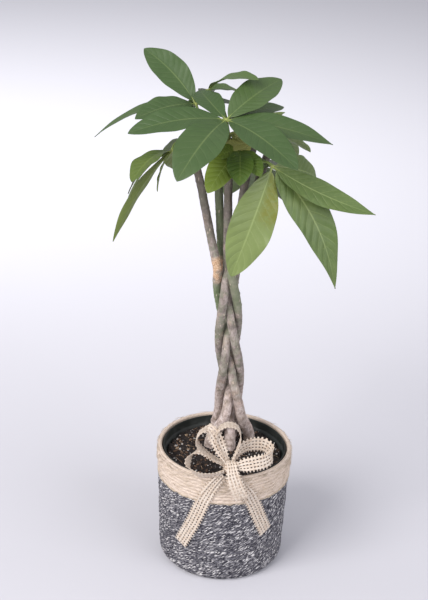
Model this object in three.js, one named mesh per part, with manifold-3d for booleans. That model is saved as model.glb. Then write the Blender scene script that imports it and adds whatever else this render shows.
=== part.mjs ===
// A potted money tree: five braided stems with palmate leaves, planted in a plastic
// grower pot that stands in a coiled rope basket with a ribbon bow.
// Millimetres, +Z up, +Y to the back. The origin is the centre of the basket's flat base.
import * as THREE from "three";
import { mergeVertices } from "three/addons/utils/BufferGeometryUtils.js";
import ManifoldModule from "manifold-3d";

const manifold = await ManifoldModule();
manifold.setup();

const GAP = 0.3;

// Basket
const BASKET_HEIGHT = 155;
const BASKET_BASE_RADIUS = 79;
const BASKET_RIM_RADIUS = 84.3;
const BASKET_WALL = 5;
const BASKET_FLOOR = 5;
const BASKET_EDGE_ROUND = 10;
const BAND_BOTTOM = 117;
const BODY_ROWS = 26;
const BAND_ROWS = 8;
const GROOVE_DEPTH = 0.9;
const BAND_STANDS_PROUD = 0.7;
const BASKET_SEGMENTS = 28;

// Grower pot and soil
const POT_FLOOR_Z = BASKET_FLOOR + GAP;
const POT_TOP = 153;
const POT_BASE_RADIUS = 60;
const POT_SHOULDER_RADIUS = 75;
const POT_COLLAR_RADIUS = 77.6;
const POT_COLLAR_HEIGHT = 12;
const POT_WALL = 1.4;
const POT_SEGMENTS = 24;
const DRAIN_HOLES = 5;
const DRAIN_HOLE_RADIUS = 5;
const DRAIN_CIRCLE_RADIUS = 40;
const SOIL_TOP = 140;
const SOIL_EDGE_DROP = 3;
const SOIL_MOUND = 4;
const SOIL_MOUND_CENTRE = [5, 24];
const SOIL_MOUND_SPREAD = 34;
const SOIL_RELIEF = 1.3;
const SOIL_RINGS = [0.97, 0.8, 0.6, 0.4, 0.2, 0.02];

// Braided stems
const STEM_COUNT = 5;
const STEM_BURIED_END = 95;
const STEM_FOOT_Z = 143;
const BRAID_START = 215;
const BRAID_EASE = 30;
const BRAID_END = 392;
const BRAID_PERIOD = 390;
const BRAID_PHASE_Z = 389.5;
const BRAID_HALF_WIDTH = 11;
const BRAID_HALF_DEPTH = 11.6;
const BRAID_LOOSER_BELOW = 0.14;
const BRAID_AXIS_POINT = [5.5, 14, 200];
const BRAID_LEAN = [-0.067, -0.07];
const STEM_RADIUS = 5.1;
const STEM_FOOT_EXTRA = 1.95;
const STEM_EXTRA_AT_START = 0.6;
const STEM_TIP_RADIUS = 4.7;
const STEM_SIDES = 7;
const STEM_STEPS = 32;
const STEM_HOLE_RADIUS = 7.9;

// Where each stem enters the soil, and where its leafy top ends
const STEM_FEET = [[7, 8], [-13, 35], [-19, 12], [9, 40], [32, 34]];
const STEM_TOPS = [
  { mid: [-10, -2, 500], top: [-10, -5, 545] },
  { mid: [26, 16, 500], top: [36, 22, 535] },
  { mid: [9, -6, 500], top: [16, -10, 546] },
  { mid: [-22, 7, 500], top: [-28, 7, 556] },
  { mid: [-43, -3, 500], top: [-56, 0, 545] },
];

// Leaves
const BLADE_THICKNESS = 0.8;
const BLADE_FOLD = 0.16;
const BLADE_FULLNESS = 0.65;
const BLADE_STATIONS = [0, 0.08, 0.2, 0.35, 0.5, 0.66, 0.81, 0.92, 1];
const STALK_HALF_WIDTH = 1.1;
const TIP_HALF_WIDTH = 0.5;
const PETIOLE_RADIUS = 1.5;
const PETIOLE_SIDES = 6;
const PETIOLE_STEPS = 6;
const HUB_RADIUS = 2.8;

// Each leaf: the stem it grows on, the height where it leaves that stem, its hub, the
// bend point of its leaf stalk, the way its upper face looks, and its leaflets.
// A leaflet: tip seen from the hub (x, y, z), widest width, arch, roll in degrees. Some
// also have a bend to their side, the share of the length where they are widest, and a taper.
const LEAVES = [
  {
    name: "leaf_1", stem: 0, from: 535, hub: [-16, -28, 579], bend: [-14, -10, 562],
    face: [0, -0.45, 0.9],
    leaflets: [
      [-49, -90, -45, 50, 10, 0],
      [-106, -30, -12, 38, 9, 0],
      [-31, 58, 18, 30, 6, 0, -4],
      [61, 58, 35, 42, 5, 0],
      [119, -8, -21, 35, 7, 0, 0, 0.5, 1],
      [78, -70, -33, 42, 9, 0],
      [66, 62, 2, 26, 4, 0],
    ],
  },
  {
    name: "leaf_2", stem: 3, from: 548, hub: [-51, 18, 584], bend: [-44, 14, 568],
    face: [-0.2, -0.5, 0.85],
    leaflets: [
      [-63, 48, 51, 37, 6, 0, 3],
      [-66, -40, -10, 35, 6, 0],
      [-116, 6, -45, 22, 14, 20, 0, 0.45, 1],
      [51, 71, -15, 25, 3, 0],
    ],
  },
  {
    name: "leaf_3", stem: 0, from: 541, hub: [-39, 45, 594], bend: [-16, 34, 592],
    face: [0, -0.2, 1],
    leaflets: [
      [57, -47, 25, 30, 9, 0],
      [42, 32, -10, 24, 5, 0],
      [-2, 58, -24, 20, 5, 0],
      [-22, 44, -42, 18, 5, 0],
    ],
  },
  {
    name: "leaf_4", stem: 2, from: 520, hub: [38, -30, 529], bend: [28, -24, 538],
    face: [0.2, -0.75, 0.5], pale: true,
    leaflets: [
      [-41, -40, -119, 50, 8, 0],
      [80, -15, -139, 46, 12, 0, -10, 0.38, 1],
      [117, -25, -44, 29, 0, 0, 5, 0.48, 1],
      [-28, 58, -28, 22, 5, 0],
      [55, 62, -30, 34, 8, 0],
    ],
  },
  {
    name: "leaf_5", stem: 4, from: 536, hub: [-75, -20, 540], bend: [-72, -14, 556],
    face: [-0.5, -0.3, 0.7], pale: true,
    leaflets: [
      [-41, -50, -24, 37, 8, 0],
      [-50, 12, -58, 20, 8, 20],
      [-49, -18, -58, 14, 8, 25],
      [-14, -30, -40, 18, 4, 40],
      [-65, -10, -109, 20, 8, 62],
      [19, 70, -46, 34, 8, 0],
    ],
  },
  {
    name: "leaf_6", stem: 2, from: 532, hub: [1, -18, 543], bend: [8, -14, 545],
    face: [0, -0.5, 0.85],
    leaflets: [
      [-34, -49, -37, 33, 6, 0],
      [1, -52, -26, 30, 5, 0],
      [-26, -16, -6, 22, 3, 0],
      [24, -34, -20, 24, 3, 0],
    ],
  },
  {
    name: "leaf_7", stem: 4, from: 528, hub: [-39, 40, 539], bend: [-46, 20, 542],
    face: [-0.2, 0.5, 0.8],
    leaflets: [
      [-29, 80, -10, 38, 10, 0],
      [-9, 88, -53, 36, 10, 0],
      [21, 70, -44, 34, 8, 0],
      [-45, 30, 7, 24, 5, 0],
      [-52, 52, -44, 30, 8, 0],
    ],
  },
  {
    name: "leaf_8", stem: 1, from: 528, hub: [15, 40, 541], bend: [24, 32, 545],
    face: [0.3, 0.5, 0.8],
    leaflets: [
      [73, 40, -25, 34, 9, 0],
      [59, 75, -43, 38, 10, 0],
      [16, 95, -41, 40, 10, 0],
      [39, 50, 20, 28, 6, 0],
      [-16, 84, -6, 32, 8, 0],
    ],
  },
  {
    name: "leaf_9", stem: 1, from: 500, hub: [13, 48, 506], bend: [22, 34, 512],
    face: [0.2, 0.6, 0.6],
    leaflets: [
      [22, 50, -79, 38, 8, 0],
      [57, 60, -68, 38, 8, 0],
      [-26, 54, -58, 30, 8, 0],
      [-4, 88, -44, 36, 8, 0],
      [36, 84, -30, 34, 8, 0],
    ],
  },
];

// Ribbon bow. Each stretch of ribbon is a path with the way its width lies at each point.
const RIBBON_WIDTH = 20;
const RIBBON_THICKNESS = 1;
const RIBBON_STEPS = 12;
const RIBBON_CLEARANCE = 1;
const KNOT_CENTRE = [6, -82, 168];
const KNOT_RADII = [8, 7, 7.5];
const BOW_LOOPS = [
  {
    path: [[4, -80, 170], [-16, -78, 179], [-29, -76, 189], [-35, -75, 200], [-31, -74, 210],
      [-22, -74, 215], [-13, -76, 206], [-5, -80, 191], [4, -83, 173]],
    across: [[0, 0.7, 0], [0, 1, 0.1], [0.15, 1, 0], [0.75, 0.5, 0.4], [0.5, 0.4, 0.3]],
  },
  {
    path: [[4, -82, 168], [-8, -80, 175], [-22, -78, 183], [-35, -77, 185], [-43, -78, 177],
      [-43, -82, 167], [-33, -88, 161], [-17, -90, 161], [0, -86, 165]],
    across: [[0, 0.7, 0], [0, 0.95, -0.2], [0.45, 0.8, -0.2], [0, 0.6, -0.7], [0, 0.5, -0.6]],
  },
  {
    path: [[7, -80, 172], [-2, -77, 186], [-10, -73, 200], [-10, -70, 212], [2, -68, 219],
      [13, -68, 216], [18, -70, 205], [14, -75, 188], [8, -80, 172]],
    across: [[0, 0.7, 0], [0, 1, -0.1], [0, 1, -0.1], [0, 1, -0.1], [0, 0.7, 0]],
  },
  {
    path: [[9, -83, 168], [20, -87, 174], [37, -86, 178], [51, -79, 179], [57, -69, 182],
      [50, -60, 187], [37, -58, 188], [21, -65, 186], [9, -78, 173]],
    across: [[0, -0.12, 0.8], [0, 0.35, 0.93], [0, 0.2, 0.95], [0, 0.1, 0.95], [0, 0, 0.8]],
  },
];
const BOW_TAB = {
  path: [[8, -86, 171], [12, -94, 162], [17, -96, 147], [23, -94, 132]],
  across: [[0.6, 0, 0], [0.95, 0.05, 0.2], [1, 0.05, 0.25], [1, 0.05, 0.25]],
};
// The tails lie on the basket: the way round from the front in degrees, and the height
const BOW_TAILS = [
  [[-1, 160], [-8, 145], [-15, 125], [-25, 86], [-38, 46]],
  [[8, 160], [16, 142], [25, 119], [33, 93], [42, 66]],
];

function material(color, roughness) {
  return new THREE.MeshStandardMaterial({ color, roughness, metalness: 0 });
}

const MATERIALS = {
  greyRope: material(0x4c5058, 0.9),
  creamRope: material(0xe2cfae, 0.9),
  plastic: material(0x1b241f, 0.45),
  soil: material(0x2a211c, 0.95),
  bark: material(0x8d7f6c, 0.85),
  leafDark: material(0x3f6338, 0.5),
  leafLight: material(0x6c9a3a, 0.5),
  ribbon: material(0xe6d3b0, 0.85),
};

// Closed meshes and solids

function meshGeometry(positions, triangles) {
  const geometry = new THREE.BufferGeometry();
  geometry.setAttribute("position", new THREE.Float32BufferAttribute(positions, 3));
  geometry.setIndex(triangles);
  geometry.computeVertexNormals();
  return geometry;
}

function toSolid(geometry) {
  const bare = geometry.clone();
  bare.deleteAttribute("normal");
  bare.deleteAttribute("uv");
  const merged = mergeVertices(bare, 1e-4);
  return new manifold.Manifold(new manifold.Mesh({
    numProp: 3,
    vertProperties: Float32Array.from(merged.attributes.position.array),
    triVerts: Uint32Array.from(merged.index.array),
  }));
}

function toGeometry(solid) {
  const mesh = solid.getMesh();
  return meshGeometry(Array.from(mesh.vertProperties), Array.from(mesh.triVerts));
}

// Keeps the biggest body of a solid, which fills sealed hollows and drops scraps
function largestBody(solid) {
  return solid.decompose().reduce((a, b) => (b.volume() > a.volume() ? b : a));
}

function unite(geometries) {
  return largestBody(geometries.map(toSolid).reduce((whole, piece) => whole.add(piece)));
}

// A grid of points, closed round in one direction, with a flat fan at each end
function closedTube(rings) {
  const sides = rings[0].length;
  const positions = rings.flat().flatMap((p) => [p.x, p.y, p.z]);
  const triangles = [];
  for (let i = 0; i < rings.length - 1; i += 1) {
    for (let j = 0; j < sides; j += 1) {
      const a = i * sides + j;
      const b = i * sides + (j + 1) % sides;
      triangles.push(a, b, b + sides, a, b + sides, a + sides);
    }
  }
  const last = (rings.length - 1) * sides;
  for (let j = 1; j < sides - 1; j += 1) {
    triangles.push(0, j + 1, j);
    triangles.push(last, last + j, last + j + 1);
  }
  return meshGeometry(positions, triangles);
}

function sweptTube(curve, steps, sides, radiusAt) {
  const frames = curve.computeFrenetFrames(steps, false);
  const rings = [];
  for (let i = 0; i <= steps; i += 1) {
    const centre = curve.getPointAt(i / steps);
    const radius = radiusAt(centre, i / steps);
    const ring = [];
    for (let j = 0; j < sides; j += 1) {
      const angle = (2 * Math.PI * j) / sides;
      ring.push(centre.clone()
        .addScaledVector(frames.normals[i], radius * Math.cos(angle))
        .addScaledVector(frames.binormals[i], radius * Math.sin(angle)));
    }
    rings.push(ring);
  }
  return closedTube(rings);
}

// Basket and pot

function basketRadius(z) {
  const straight = BASKET_BASE_RADIUS
    + (BASKET_RIM_RADIUS - BASKET_BASE_RADIUS) * (z / BASKET_HEIGHT);
  if (z >= BASKET_EDGE_ROUND) return straight;
  const below = (BASKET_EDGE_ROUND - z) / BASKET_EDGE_ROUND;
  return straight - BASKET_EDGE_ROUND * (1 - Math.sqrt(1 - below * below));
}

function lathe(points, segments) {
  const profile = points.map(([r, z]) => new THREE.Vector2(r, z));
  const geometry = new THREE.LatheGeometry(profile, segments);
  geometry.rotateX(Math.PI / 2);
  return toGeometry(toSolid(geometry));
}

// The outside of a stack of rope rows, from its lowest groove to its highest
function ropeRows(bottom, top, rows, proud) {
  const pitch = (top - bottom) / rows;
  const points = [];
  for (let i = 0; i < rows; i += 1) {
    const groove = bottom + i * pitch;
    const crest = groove + pitch / 2;
    points.push([basketRadius(groove) + proud - GROOVE_DEPTH, groove]);
    points.push([basketRadius(crest) + proud, crest]);
  }
  points.push([basketRadius(top) + proud - GROOVE_DEPTH, top]);
  return points;
}

function basketBody() {
  const outside = ropeRows(0, BAND_BOTTOM, BODY_ROWS, 0);
  const inside = [
    [basketRadius(BAND_BOTTOM) - BASKET_WALL, BAND_BOTTOM],
    [basketRadius(BASKET_EDGE_ROUND) - BASKET_WALL, BASKET_EDGE_ROUND],
    [basketRadius(BASKET_FLOOR) - BASKET_WALL, BASKET_FLOOR],
  ];
  return lathe([[0, 0], ...outside, ...inside, [0, BASKET_FLOOR]], BASKET_SEGMENTS);
}

function basketBand() {
  const bottom = BAND_BOTTOM + GAP;
  const outside = ropeRows(bottom, BASKET_HEIGHT, BAND_ROWS, BAND_STANDS_PROUD);
  const inside = [
    [basketRadius(BASKET_HEIGHT) - BASKET_WALL, BASKET_HEIGHT],
    [basketRadius(bottom) - BASKET_WALL, bottom],
  ];
  return lathe([...outside, ...inside, outside[0]], BASKET_SEGMENTS);
}

function drainHole(index) {
  const angle = (2 * Math.PI * index) / DRAIN_HOLES;
  const height = 3 * POT_WALL;
  const hole = new THREE.CylinderGeometry(DRAIN_HOLE_RADIUS, DRAIN_HOLE_RADIUS, height, 10);
  hole.rotateX(Math.PI / 2);
  hole.translate(
    DRAIN_CIRCLE_RADIUS * Math.cos(angle),
    DRAIN_CIRCLE_RADIUS * Math.sin(angle),
    POT_FLOOR_Z + POT_WALL / 2,
  );
  return toSolid(hole);
}

function growerPot() {
  const shoulder = POT_TOP - POT_COLLAR_HEIGHT;
  const profile = [
    [0, POT_FLOOR_Z],
    [POT_BASE_RADIUS, POT_FLOOR_Z],
    [POT_SHOULDER_RADIUS, shoulder],
    [POT_COLLAR_RADIUS, shoulder],
    [POT_COLLAR_RADIUS, POT_TOP],
    [POT_COLLAR_RADIUS - POT_WALL, POT_TOP],
    [POT_COLLAR_RADIUS - POT_WALL, shoulder + POT_WALL],
    [POT_SHOULDER_RADIUS - POT_WALL, shoulder],
    [POT_BASE_RADIUS - POT_WALL, POT_FLOOR_Z + POT_WALL],
    [0, POT_FLOOR_Z + POT_WALL],
  ];
  let solid = toSolid(lathe(profile, POT_SEGMENTS));
  for (let i = 0; i < DRAIN_HOLES; i += 1) solid = solid.subtract(drainHole(i));
  return toGeometry(solid);
}

function potInnerRadius(z) {
  const share = (z - POT_FLOOR_Z - POT_WALL) / (POT_TOP - POT_COLLAR_HEIGHT - POT_FLOOR_Z - POT_WALL);
  return POT_BASE_RADIUS - POT_WALL + (POT_SHOULDER_RADIUS - POT_BASE_RADIUS) * share;
}

function soilHeight(x, y) {
  const bumps = Math.sin(x * 0.31 + 1.3) * Math.cos(y * 0.27)
    + 0.6 * Math.sin(x * 0.13 - y * 0.21);
  const fromTrunk = Math.hypot(x - SOIL_MOUND_CENTRE[0], y - SOIL_MOUND_CENTRE[1]);
  const mound = SOIL_MOUND * Math.exp(-((fromTrunk / SOIL_MOUND_SPREAD) ** 2));
  return SOIL_TOP + mound + SOIL_RELIEF * bumps;
}

function soilRing(radius, heightAt) {
  const ring = [];
  for (let j = 0; j < POT_SEGMENTS; j += 1) {
    const angle = (2 * Math.PI * j) / POT_SEGMENTS;
    const x = radius * Math.cos(angle);
    const y = radius * Math.sin(angle);
    ring.push(new THREE.Vector3(x, y, heightAt(x, y)));
  }
  return ring;
}

function soil() {
  const floor = POT_FLOOR_Z + POT_WALL + GAP;
  const edgeZ = SOIL_TOP - SOIL_EDGE_DROP;
  const edgeRadius = potInnerRadius(edgeZ) - 2 * GAP;
  const rings = [
    soilRing(potInnerRadius(floor) - 2 * GAP, () => floor),
    soilRing(edgeRadius, () => edgeZ),
  ];
  for (const share of SOIL_RINGS) rings.push(soilRing(edgeRadius * share, soilHeight));
  let solid = toSolid(closedTube(rings));
  for (const foot of STEM_FEET) {
    const bottom = STEM_BURIED_END - GAP;
    const depth = POT_TOP - bottom;
    const hole = new THREE.CylinderGeometry(STEM_HOLE_RADIUS, STEM_HOLE_RADIUS, depth, 10);
    hole.rotateX(Math.PI / 2);
    hole.translate(foot[0], foot[1], bottom + depth / 2);
    solid = solid.subtract(toSolid(hole));
  }
  return toGeometry(solid);
}

// Stems

function smooth(t) {
  const clamped = Math.min(Math.max(t, 0), 1);
  return clamped * clamped * (3 - 2 * clamped);
}

// The middle line of the braid leans a little as it rises
function braidAxis(z) {
  const rise = z - BRAID_AXIS_POINT[2];
  return new THREE.Vector3(
    BRAID_AXIS_POINT[0] + BRAID_LEAN[0] * rise,
    BRAID_AXIS_POINT[1] + BRAID_LEAN[1] * rise,
    z,
  );
}

// Each stem weaves from an edge to the middle in front and back out behind
function braidPoint(index, z) {
  const phase = 2 * Math.PI * ((z - BRAID_PHASE_Z) / BRAID_PERIOD + index / STEM_COUNT);
  const across = Math.sin(phase) - 0.1 * Math.sin(3 * phase);
  const deep = Math.sin(2 * phase) + 0.08 * Math.sin(4 * phase);
  const looser = 1 + BRAID_LOOSER_BELOW * Math.exp((BRAID_START - z) / BRAID_EASE);
  const point = braidAxis(z);
  point.x += BRAID_HALF_WIDTH * looser * across;
  point.y += BRAID_HALF_DEPTH * looser * deep;
  return point;
}

// Below its start the weave slows to a stop, and each stem runs out to its foot
function stemPoint(index, z) {
  if (z >= BRAID_START) return braidPoint(index, z);
  const foot = new THREE.Vector3(...STEM_FEET[index], z);
  if (z <= STEM_FOOT_Z) return foot;
  const below = Math.min(BRAID_START - z, BRAID_EASE);
  const slowed = BRAID_START - below + (below * below) / (2 * BRAID_EASE);
  const woven = braidPoint(index, slowed);
  woven.z = z;
  const share = smooth((z - STEM_FOOT_Z) / (BRAID_START - BRAID_EASE / 2 - STEM_FOOT_Z));
  return foot.lerp(woven, share);
}

function stemCurve(index) {
  const points = [];
  for (const z of [STEM_BURIED_END, 115, 130, STEM_FOOT_Z, 150, 163, 176, 189, 202]) {
    points.push(stemPoint(index, z));
  }
  for (let z = BRAID_START; z <= BRAID_END; z += 11) points.push(stemPoint(index, z));
  const { mid, top } = STEM_TOPS[index];
  const leave = points[points.length - 1];
  const free = new THREE.Vector3(...mid);
  points.push(leave.clone().lerp(free, 0.36));
  points.push(leave.clone().lerp(free, 0.68));
  points.push(free);
  points.push(new THREE.Vector3(...top));
  return new THREE.CatmullRomCurve3(points, false, "centripetal");
}

function stemRadius(z, topZ) {
  const swelling = STEM_EXTRA_AT_START * Math.exp((BRAID_START - z) / (1.15 * BRAID_EASE));
  const foot = Math.min(swelling, STEM_FOOT_EXTRA);
  const towardsTop = smooth((z - BRAID_END) / (topZ - BRAID_END));
  return STEM_RADIUS + foot - (STEM_RADIUS - STEM_TIP_RADIUS) * towardsTop;
}

function stemTube(index, extraRadius) {
  const topZ = STEM_TOPS[index].top[2];
  return sweptTube(stemCurve(index), STEM_STEPS, STEM_SIDES,
    (point) => stemRadius(point.z, topZ) + extraRadius);
}

// Leaves

// Half the width of a blade with a narrow stalk at the hub. A higher taper draws its end out.
function bladeHalfWidth(t, width, widest, taper) {
  const along = Math.max(t - 0.05, 0) / 0.95;
  const turn = along ** (Math.log(0.5) / Math.log(widest));
  const body = Math.sin(Math.PI * turn) ** (turn < 0.5 ? BLADE_FULLNESS : taper);
  const least = STALK_HALF_WIDTH + (TIP_HALF_WIDTH - STALK_HALF_WIDTH) * t;
  return Math.max((width / 2) * body, least);
}

function leaflet(hub, face, shape) {
  const [dx, dy, dz, width, arch, rollDegrees, sway = 0, widest = 0.53, taper = 0.7] = shape;
  const reach = new THREE.Vector3(dx, dy, dz);
  const along = reach.clone().normalize();
  const up = face.clone().addScaledVector(along, -face.dot(along)).normalize();
  up.applyAxisAngle(along, THREE.MathUtils.degToRad(rollDegrees));
  const sideways = along.clone().cross(up);
  const bendPoint = hub.clone().addScaledVector(reach, 0.45)
    .addScaledVector(up, 2 * arch)
    .addScaledVector(sideways, 2 * sway);
  const rib = new THREE.QuadraticBezierCurve3(hub.clone(), bendPoint, hub.clone().add(reach));
  const rings = BLADE_STATIONS.map((t) => {
    const centre = rib.getPoint(t);
    const tangent = rib.getTangent(t);
    const side = tangent.clone().cross(up).normalize();
    const normal = side.clone().cross(tangent).normalize();
    const half = bladeHalfWidth(t, width, widest, taper);
    const at = (across, offset) => centre.clone()
      .addScaledVector(side, across * half)
      .addScaledVector(normal, Math.abs(across) * half * BLADE_FOLD + offset);
    const thin = BLADE_THICKNESS / 2;
    return [at(-1, thin), at(0, thin), at(1, thin), at(1, -thin), at(0, -thin), at(-1, -thin)];
  });
  return bladeMesh(rings);
}

// Six points a station: the three above mirrored by the three below, split alike
function bladeMesh(rings) {
  const positions = rings.flat().flatMap((p) => [p.x, p.y, p.z]);
  const triangles = [];
  const quad = (a, b, c, d, flip) => {
    if (flip) triangles.push(a, d, b, b, d, c);
    else triangles.push(a, c, b, a, d, c);
  };
  for (let i = 0; i < rings.length - 1; i += 1) {
    for (let j = 0; j < 6; j += 1) {
      const a = i * 6 + j;
      const b = i * 6 + (j + 1) % 6;
      quad(a, a + 6, b + 6, b, j === 3 || j === 4);
    }
  }
  const last = (rings.length - 1) * 6;
  triangles.push(0, 4, 1, 0, 5, 4, 1, 3, 2, 1, 4, 3);
  triangles.push(last, last + 1, last + 4, last, last + 4, last + 5);
  triangles.push(last + 1, last + 2, last + 3, last + 1, last + 3, last + 4);
  return meshGeometry(positions, triangles);
}

function pointOnStem(curve, z) {
  let low = 0;
  let high = 1;
  while (high - low > 1e-4) {
    const middle = (low + high) / 2;
    if (curve.getPointAt(middle).z < z) low = middle;
    else high = middle;
  }
  return curve.getPointAt(low);
}

function leaf({ stem, from, hub, bend, face, leaflets }) {
  const centre = new THREE.Vector3(...hub);
  const faceWay = new THREE.Vector3(...face).normalize();
  const stalk = new THREE.QuadraticBezierCurve3(
    pointOnStem(stemCurve(stem), from),
    new THREE.Vector3(...bend),
    centre.clone(),
  );
  const knob = new THREE.SphereGeometry(HUB_RADIUS, 6, 4);
  knob.translate(centre.x, centre.y, centre.z);
  const pieces = [
    sweptTube(stalk, PETIOLE_STEPS, PETIOLE_SIDES, () => PETIOLE_RADIUS),
    knob,
    ...leaflets.map((shape) => leaflet(centre, faceWay, shape)),
  ];
  const whole = unite(pieces).subtract(toSolid(stemTube(stem, GAP + 0.05)));
  return toGeometry(largestBody(whole));
}

// Ribbon bow

// A strip along a smooth path, with its width laid the way given at each point.
// A shorter way gathers the ribbon to a narrower strip there.
function ribbonStrip({ path, across }) {
  const curve = new THREE.CatmullRomCurve3(path.map((p) => new THREE.Vector3(...p)));
  const ways = new THREE.CatmullRomCurve3(across.map((p) => new THREE.Vector3(...p)));
  const rings = [];
  for (let i = 0; i <= RIBBON_STEPS; i += 1) {
    const t = i / RIBBON_STEPS;
    const centre = curve.getPoint(t);
    const tangent = curve.getTangent(t);
    const way = ways.getPoint(t);
    const half = (RIBBON_WIDTH / 2) * Math.min(way.length(), 1);
    way.addScaledVector(tangent, -way.dot(tangent)).normalize();
    const normal = tangent.clone().cross(way).normalize();
    const corner = (side, face) => centre.clone()
      .addScaledVector(way, side * half)
      .addScaledVector(normal, (face * RIBBON_THICKNESS) / 2);
    rings.push([corner(-1, -1), corner(1, -1), corner(1, 1), corner(-1, 1)]);
  }
  return closedTube(rings);
}

// The path of a tail on the basket's outside, flat against it
function tailStrip(turnsAndHeights) {
  const path = [];
  const outward = [];
  for (const [degrees, z] of turnsAndHeights) {
    const angle = THREE.MathUtils.degToRad(degrees);
    const radius = basketRadius(z) + BAND_STANDS_PROUD + RIBBON_CLEARANCE;
    path.push([radius * Math.sin(angle), -radius * Math.cos(angle), z]);
    outward.push(new THREE.Vector3(Math.sin(angle), -Math.cos(angle), 0));
  }
  const curve = new THREE.CatmullRomCurve3(path.map((p) => new THREE.Vector3(...p)));
  const across = outward.map((way, i) => {
    const tangent = curve.getTangent(i / (outward.length - 1));
    return tangent.cross(way).normalize().toArray();
  });
  return ribbonStrip({ path, across });
}

function ribbonBow() {
  const knot = new THREE.SphereGeometry(1, 8, 6);
  knot.scale(...KNOT_RADII);
  knot.translate(...KNOT_CENTRE);
  const strips = [...BOW_LOOPS, BOW_TAB].map(ribbonStrip);
  return toGeometry(unite([knot, ...strips, ...BOW_TAILS.map(tailStrip)]));
}

const group = new THREE.Group();

function addPiece(name, geometry, look) {
  const mesh = new THREE.Mesh(geometry, look);
  mesh.name = name;
  group.add(mesh);
}

addPiece("basket_body", basketBody(), MATERIALS.greyRope);
addPiece("basket_band", basketBand(), MATERIALS.creamRope);
addPiece("grower_pot", growerPot(), MATERIALS.plastic);
addPiece("soil", soil(), MATERIALS.soil);
for (let i = 0; i < STEM_COUNT; i += 1) {
  addPiece(`stem_${i + 1}`, stemTube(i, 0), MATERIALS.bark);
}
for (const shape of LEAVES) {
  addPiece(shape.name, leaf(shape), shape.pale ? MATERIALS.leafLight : MATERIALS.leafDark);
}
addPiece("ribbon_bow", ribbonBow(), MATERIALS.ribbon);

export default group;
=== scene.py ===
"""Finish and fine surfaces of a potted money tree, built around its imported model.

Metres, +Z up, the front towards -Y. The routes of the stems, leaves and ribbon are the
model's own, so they are given in millimetres, as there.
"""
import math
import random

import bmesh
import bpy
import numpy as np
from mathutils import Matrix, Vector, geometry, noise


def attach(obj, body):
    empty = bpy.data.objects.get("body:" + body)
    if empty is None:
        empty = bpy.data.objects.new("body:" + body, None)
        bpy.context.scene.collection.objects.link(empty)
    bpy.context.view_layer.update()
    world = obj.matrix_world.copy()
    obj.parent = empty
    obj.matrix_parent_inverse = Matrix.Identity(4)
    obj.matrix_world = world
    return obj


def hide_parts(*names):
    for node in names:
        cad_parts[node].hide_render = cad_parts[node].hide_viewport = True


MM = 0.001
TURN = 2 * math.pi
BODY = "root"

# The photograph's camera, in metres and degrees
CAMERA_PLACE = (-0.021, -1.3, 0.905)
CAMERA_PITCH = 66.9
CAMERA_ROLL = 2.4
CAMERA_LENS = 70.56

# Studio, in metres. A light: place, aim, size, watts and colour
LIGHTS = {
    "window": ((-1.5, -1.5, 1.8), (0, 0, 0.25), 1.6, 78, (1.0, 0.98, 0.97)),
    "fill": ((1.8, -1.4, 1.4), (0, 0, 0.3), 1.8, 32, (0.97, 0.97, 1.0)),
    "backdrop": ((-0.9, 1.5, 2.5), (-0.7, 5.6, 0), 2.6, 115, (1.0, 1.0, 1.0)),
}
WORLD_COLOUR = (0.87, 0.87, 0.93, 1)
WORLD_STRENGTH = 0.6
FLOOR_COLOUR = (0.58, 0.575, 0.615)
FLOOR_REACH = 8

# Basket, in millimetres
BASKET_HEIGHT = 155
BASKET_BASE_RADIUS = 79
BASKET_RIM_RADIUS = 84.3
BASKET_WALL = 5
BASKET_FLOOR = 5
BASKET_EDGE_ROUND = 10
BASE_ROWS = 15
BASE_ROW_STEPS = 4
BODY_ROWS = 26
BODY_ROW_STEPS = 5
BODY_STRANDS = 50
BAND_BOTTOM = 117
BAND_GAP = 0.3
BAND_ROWS = 8
BAND_ROW_STEPS = 7
BAND_STRANDS = 45
BAND_STANDS_PROUD = 0.7
RIM_ROWS = 2
RIM_HEIGHT = 2.2
ROPE_SEGMENTS = 360
ROPE_SLANT = 0.65
YARNS_A_STRAND = 6
ROW_SHIFT = 0.37
ROW_WOBBLE = 0.35
ROW_WOBBLES_A_TURN = 3
ROW_WOBBLE_SHIFT = 0.13
STRAND_RELIEF = 0.26
GROOVE_DEPTH = 0.9

# Loose fibres: material slot, count, lowest and highest start, shortest and longest, thickness,
# the most they stand off, their least and most rise for that, and the seed
FIBRES = {
    "band_fibres": ("cream_rope", 900, (BAND_BOTTOM + 2, BASKET_HEIGHT), (5, 16),
                    0.27, 1.9, (-0.9, 1.2), 31),
    "band_fringe": ("cream_rope", 900, (BAND_BOTTOM + 0.4, BAND_BOTTOM + 1.4), (2, 9),
                    0.34, 0.9, (-2.6, -0.2), 33),
    "rope_fuzz": ("grey_rope", 420, (6, BAND_BOTTOM - 1), (2, 6),
                  0.16, 0.9, (-0.2, 1.0), 32),
}
FIBRE_COLOURS = {"cream_rope": (0.70, 0.59, 0.46), "grey_rope": (0.34, 0.34, 0.37)}
FIBRE_SAMPLES = 6

# Grower pot and soil, in millimetres
POT_FLOOR_Z = 5.3
POT_TOP = 153
POT_BASE_RADIUS = 60
POT_SHOULDER_RADIUS = 75
POT_COLLAR_RADIUS = 77.6
POT_COLLAR_HEIGHT = 12
POT_WALL = 1.4
POT_SEGMENTS = 120
DRAIN_HOLES = 5
DRAIN_HOLE_RADIUS = 5
DRAIN_HOLE_SEGMENTS = 24
DRAIN_CIRCLE_RADIUS = 40
SOIL_TOP = 140
SOIL_MOUND = 4
SOIL_MOUND_CENTRE = (5, 24)
SOIL_MOUND_SPREAD = 34
SOIL_RELIEF = 1.3
SOIL_RADIUS = 72
SOIL_GAP = 0.6
SOIL_BOTTOM = 7
SOIL_RINGS = 84
SOIL_SEGMENTS = 240
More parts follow.
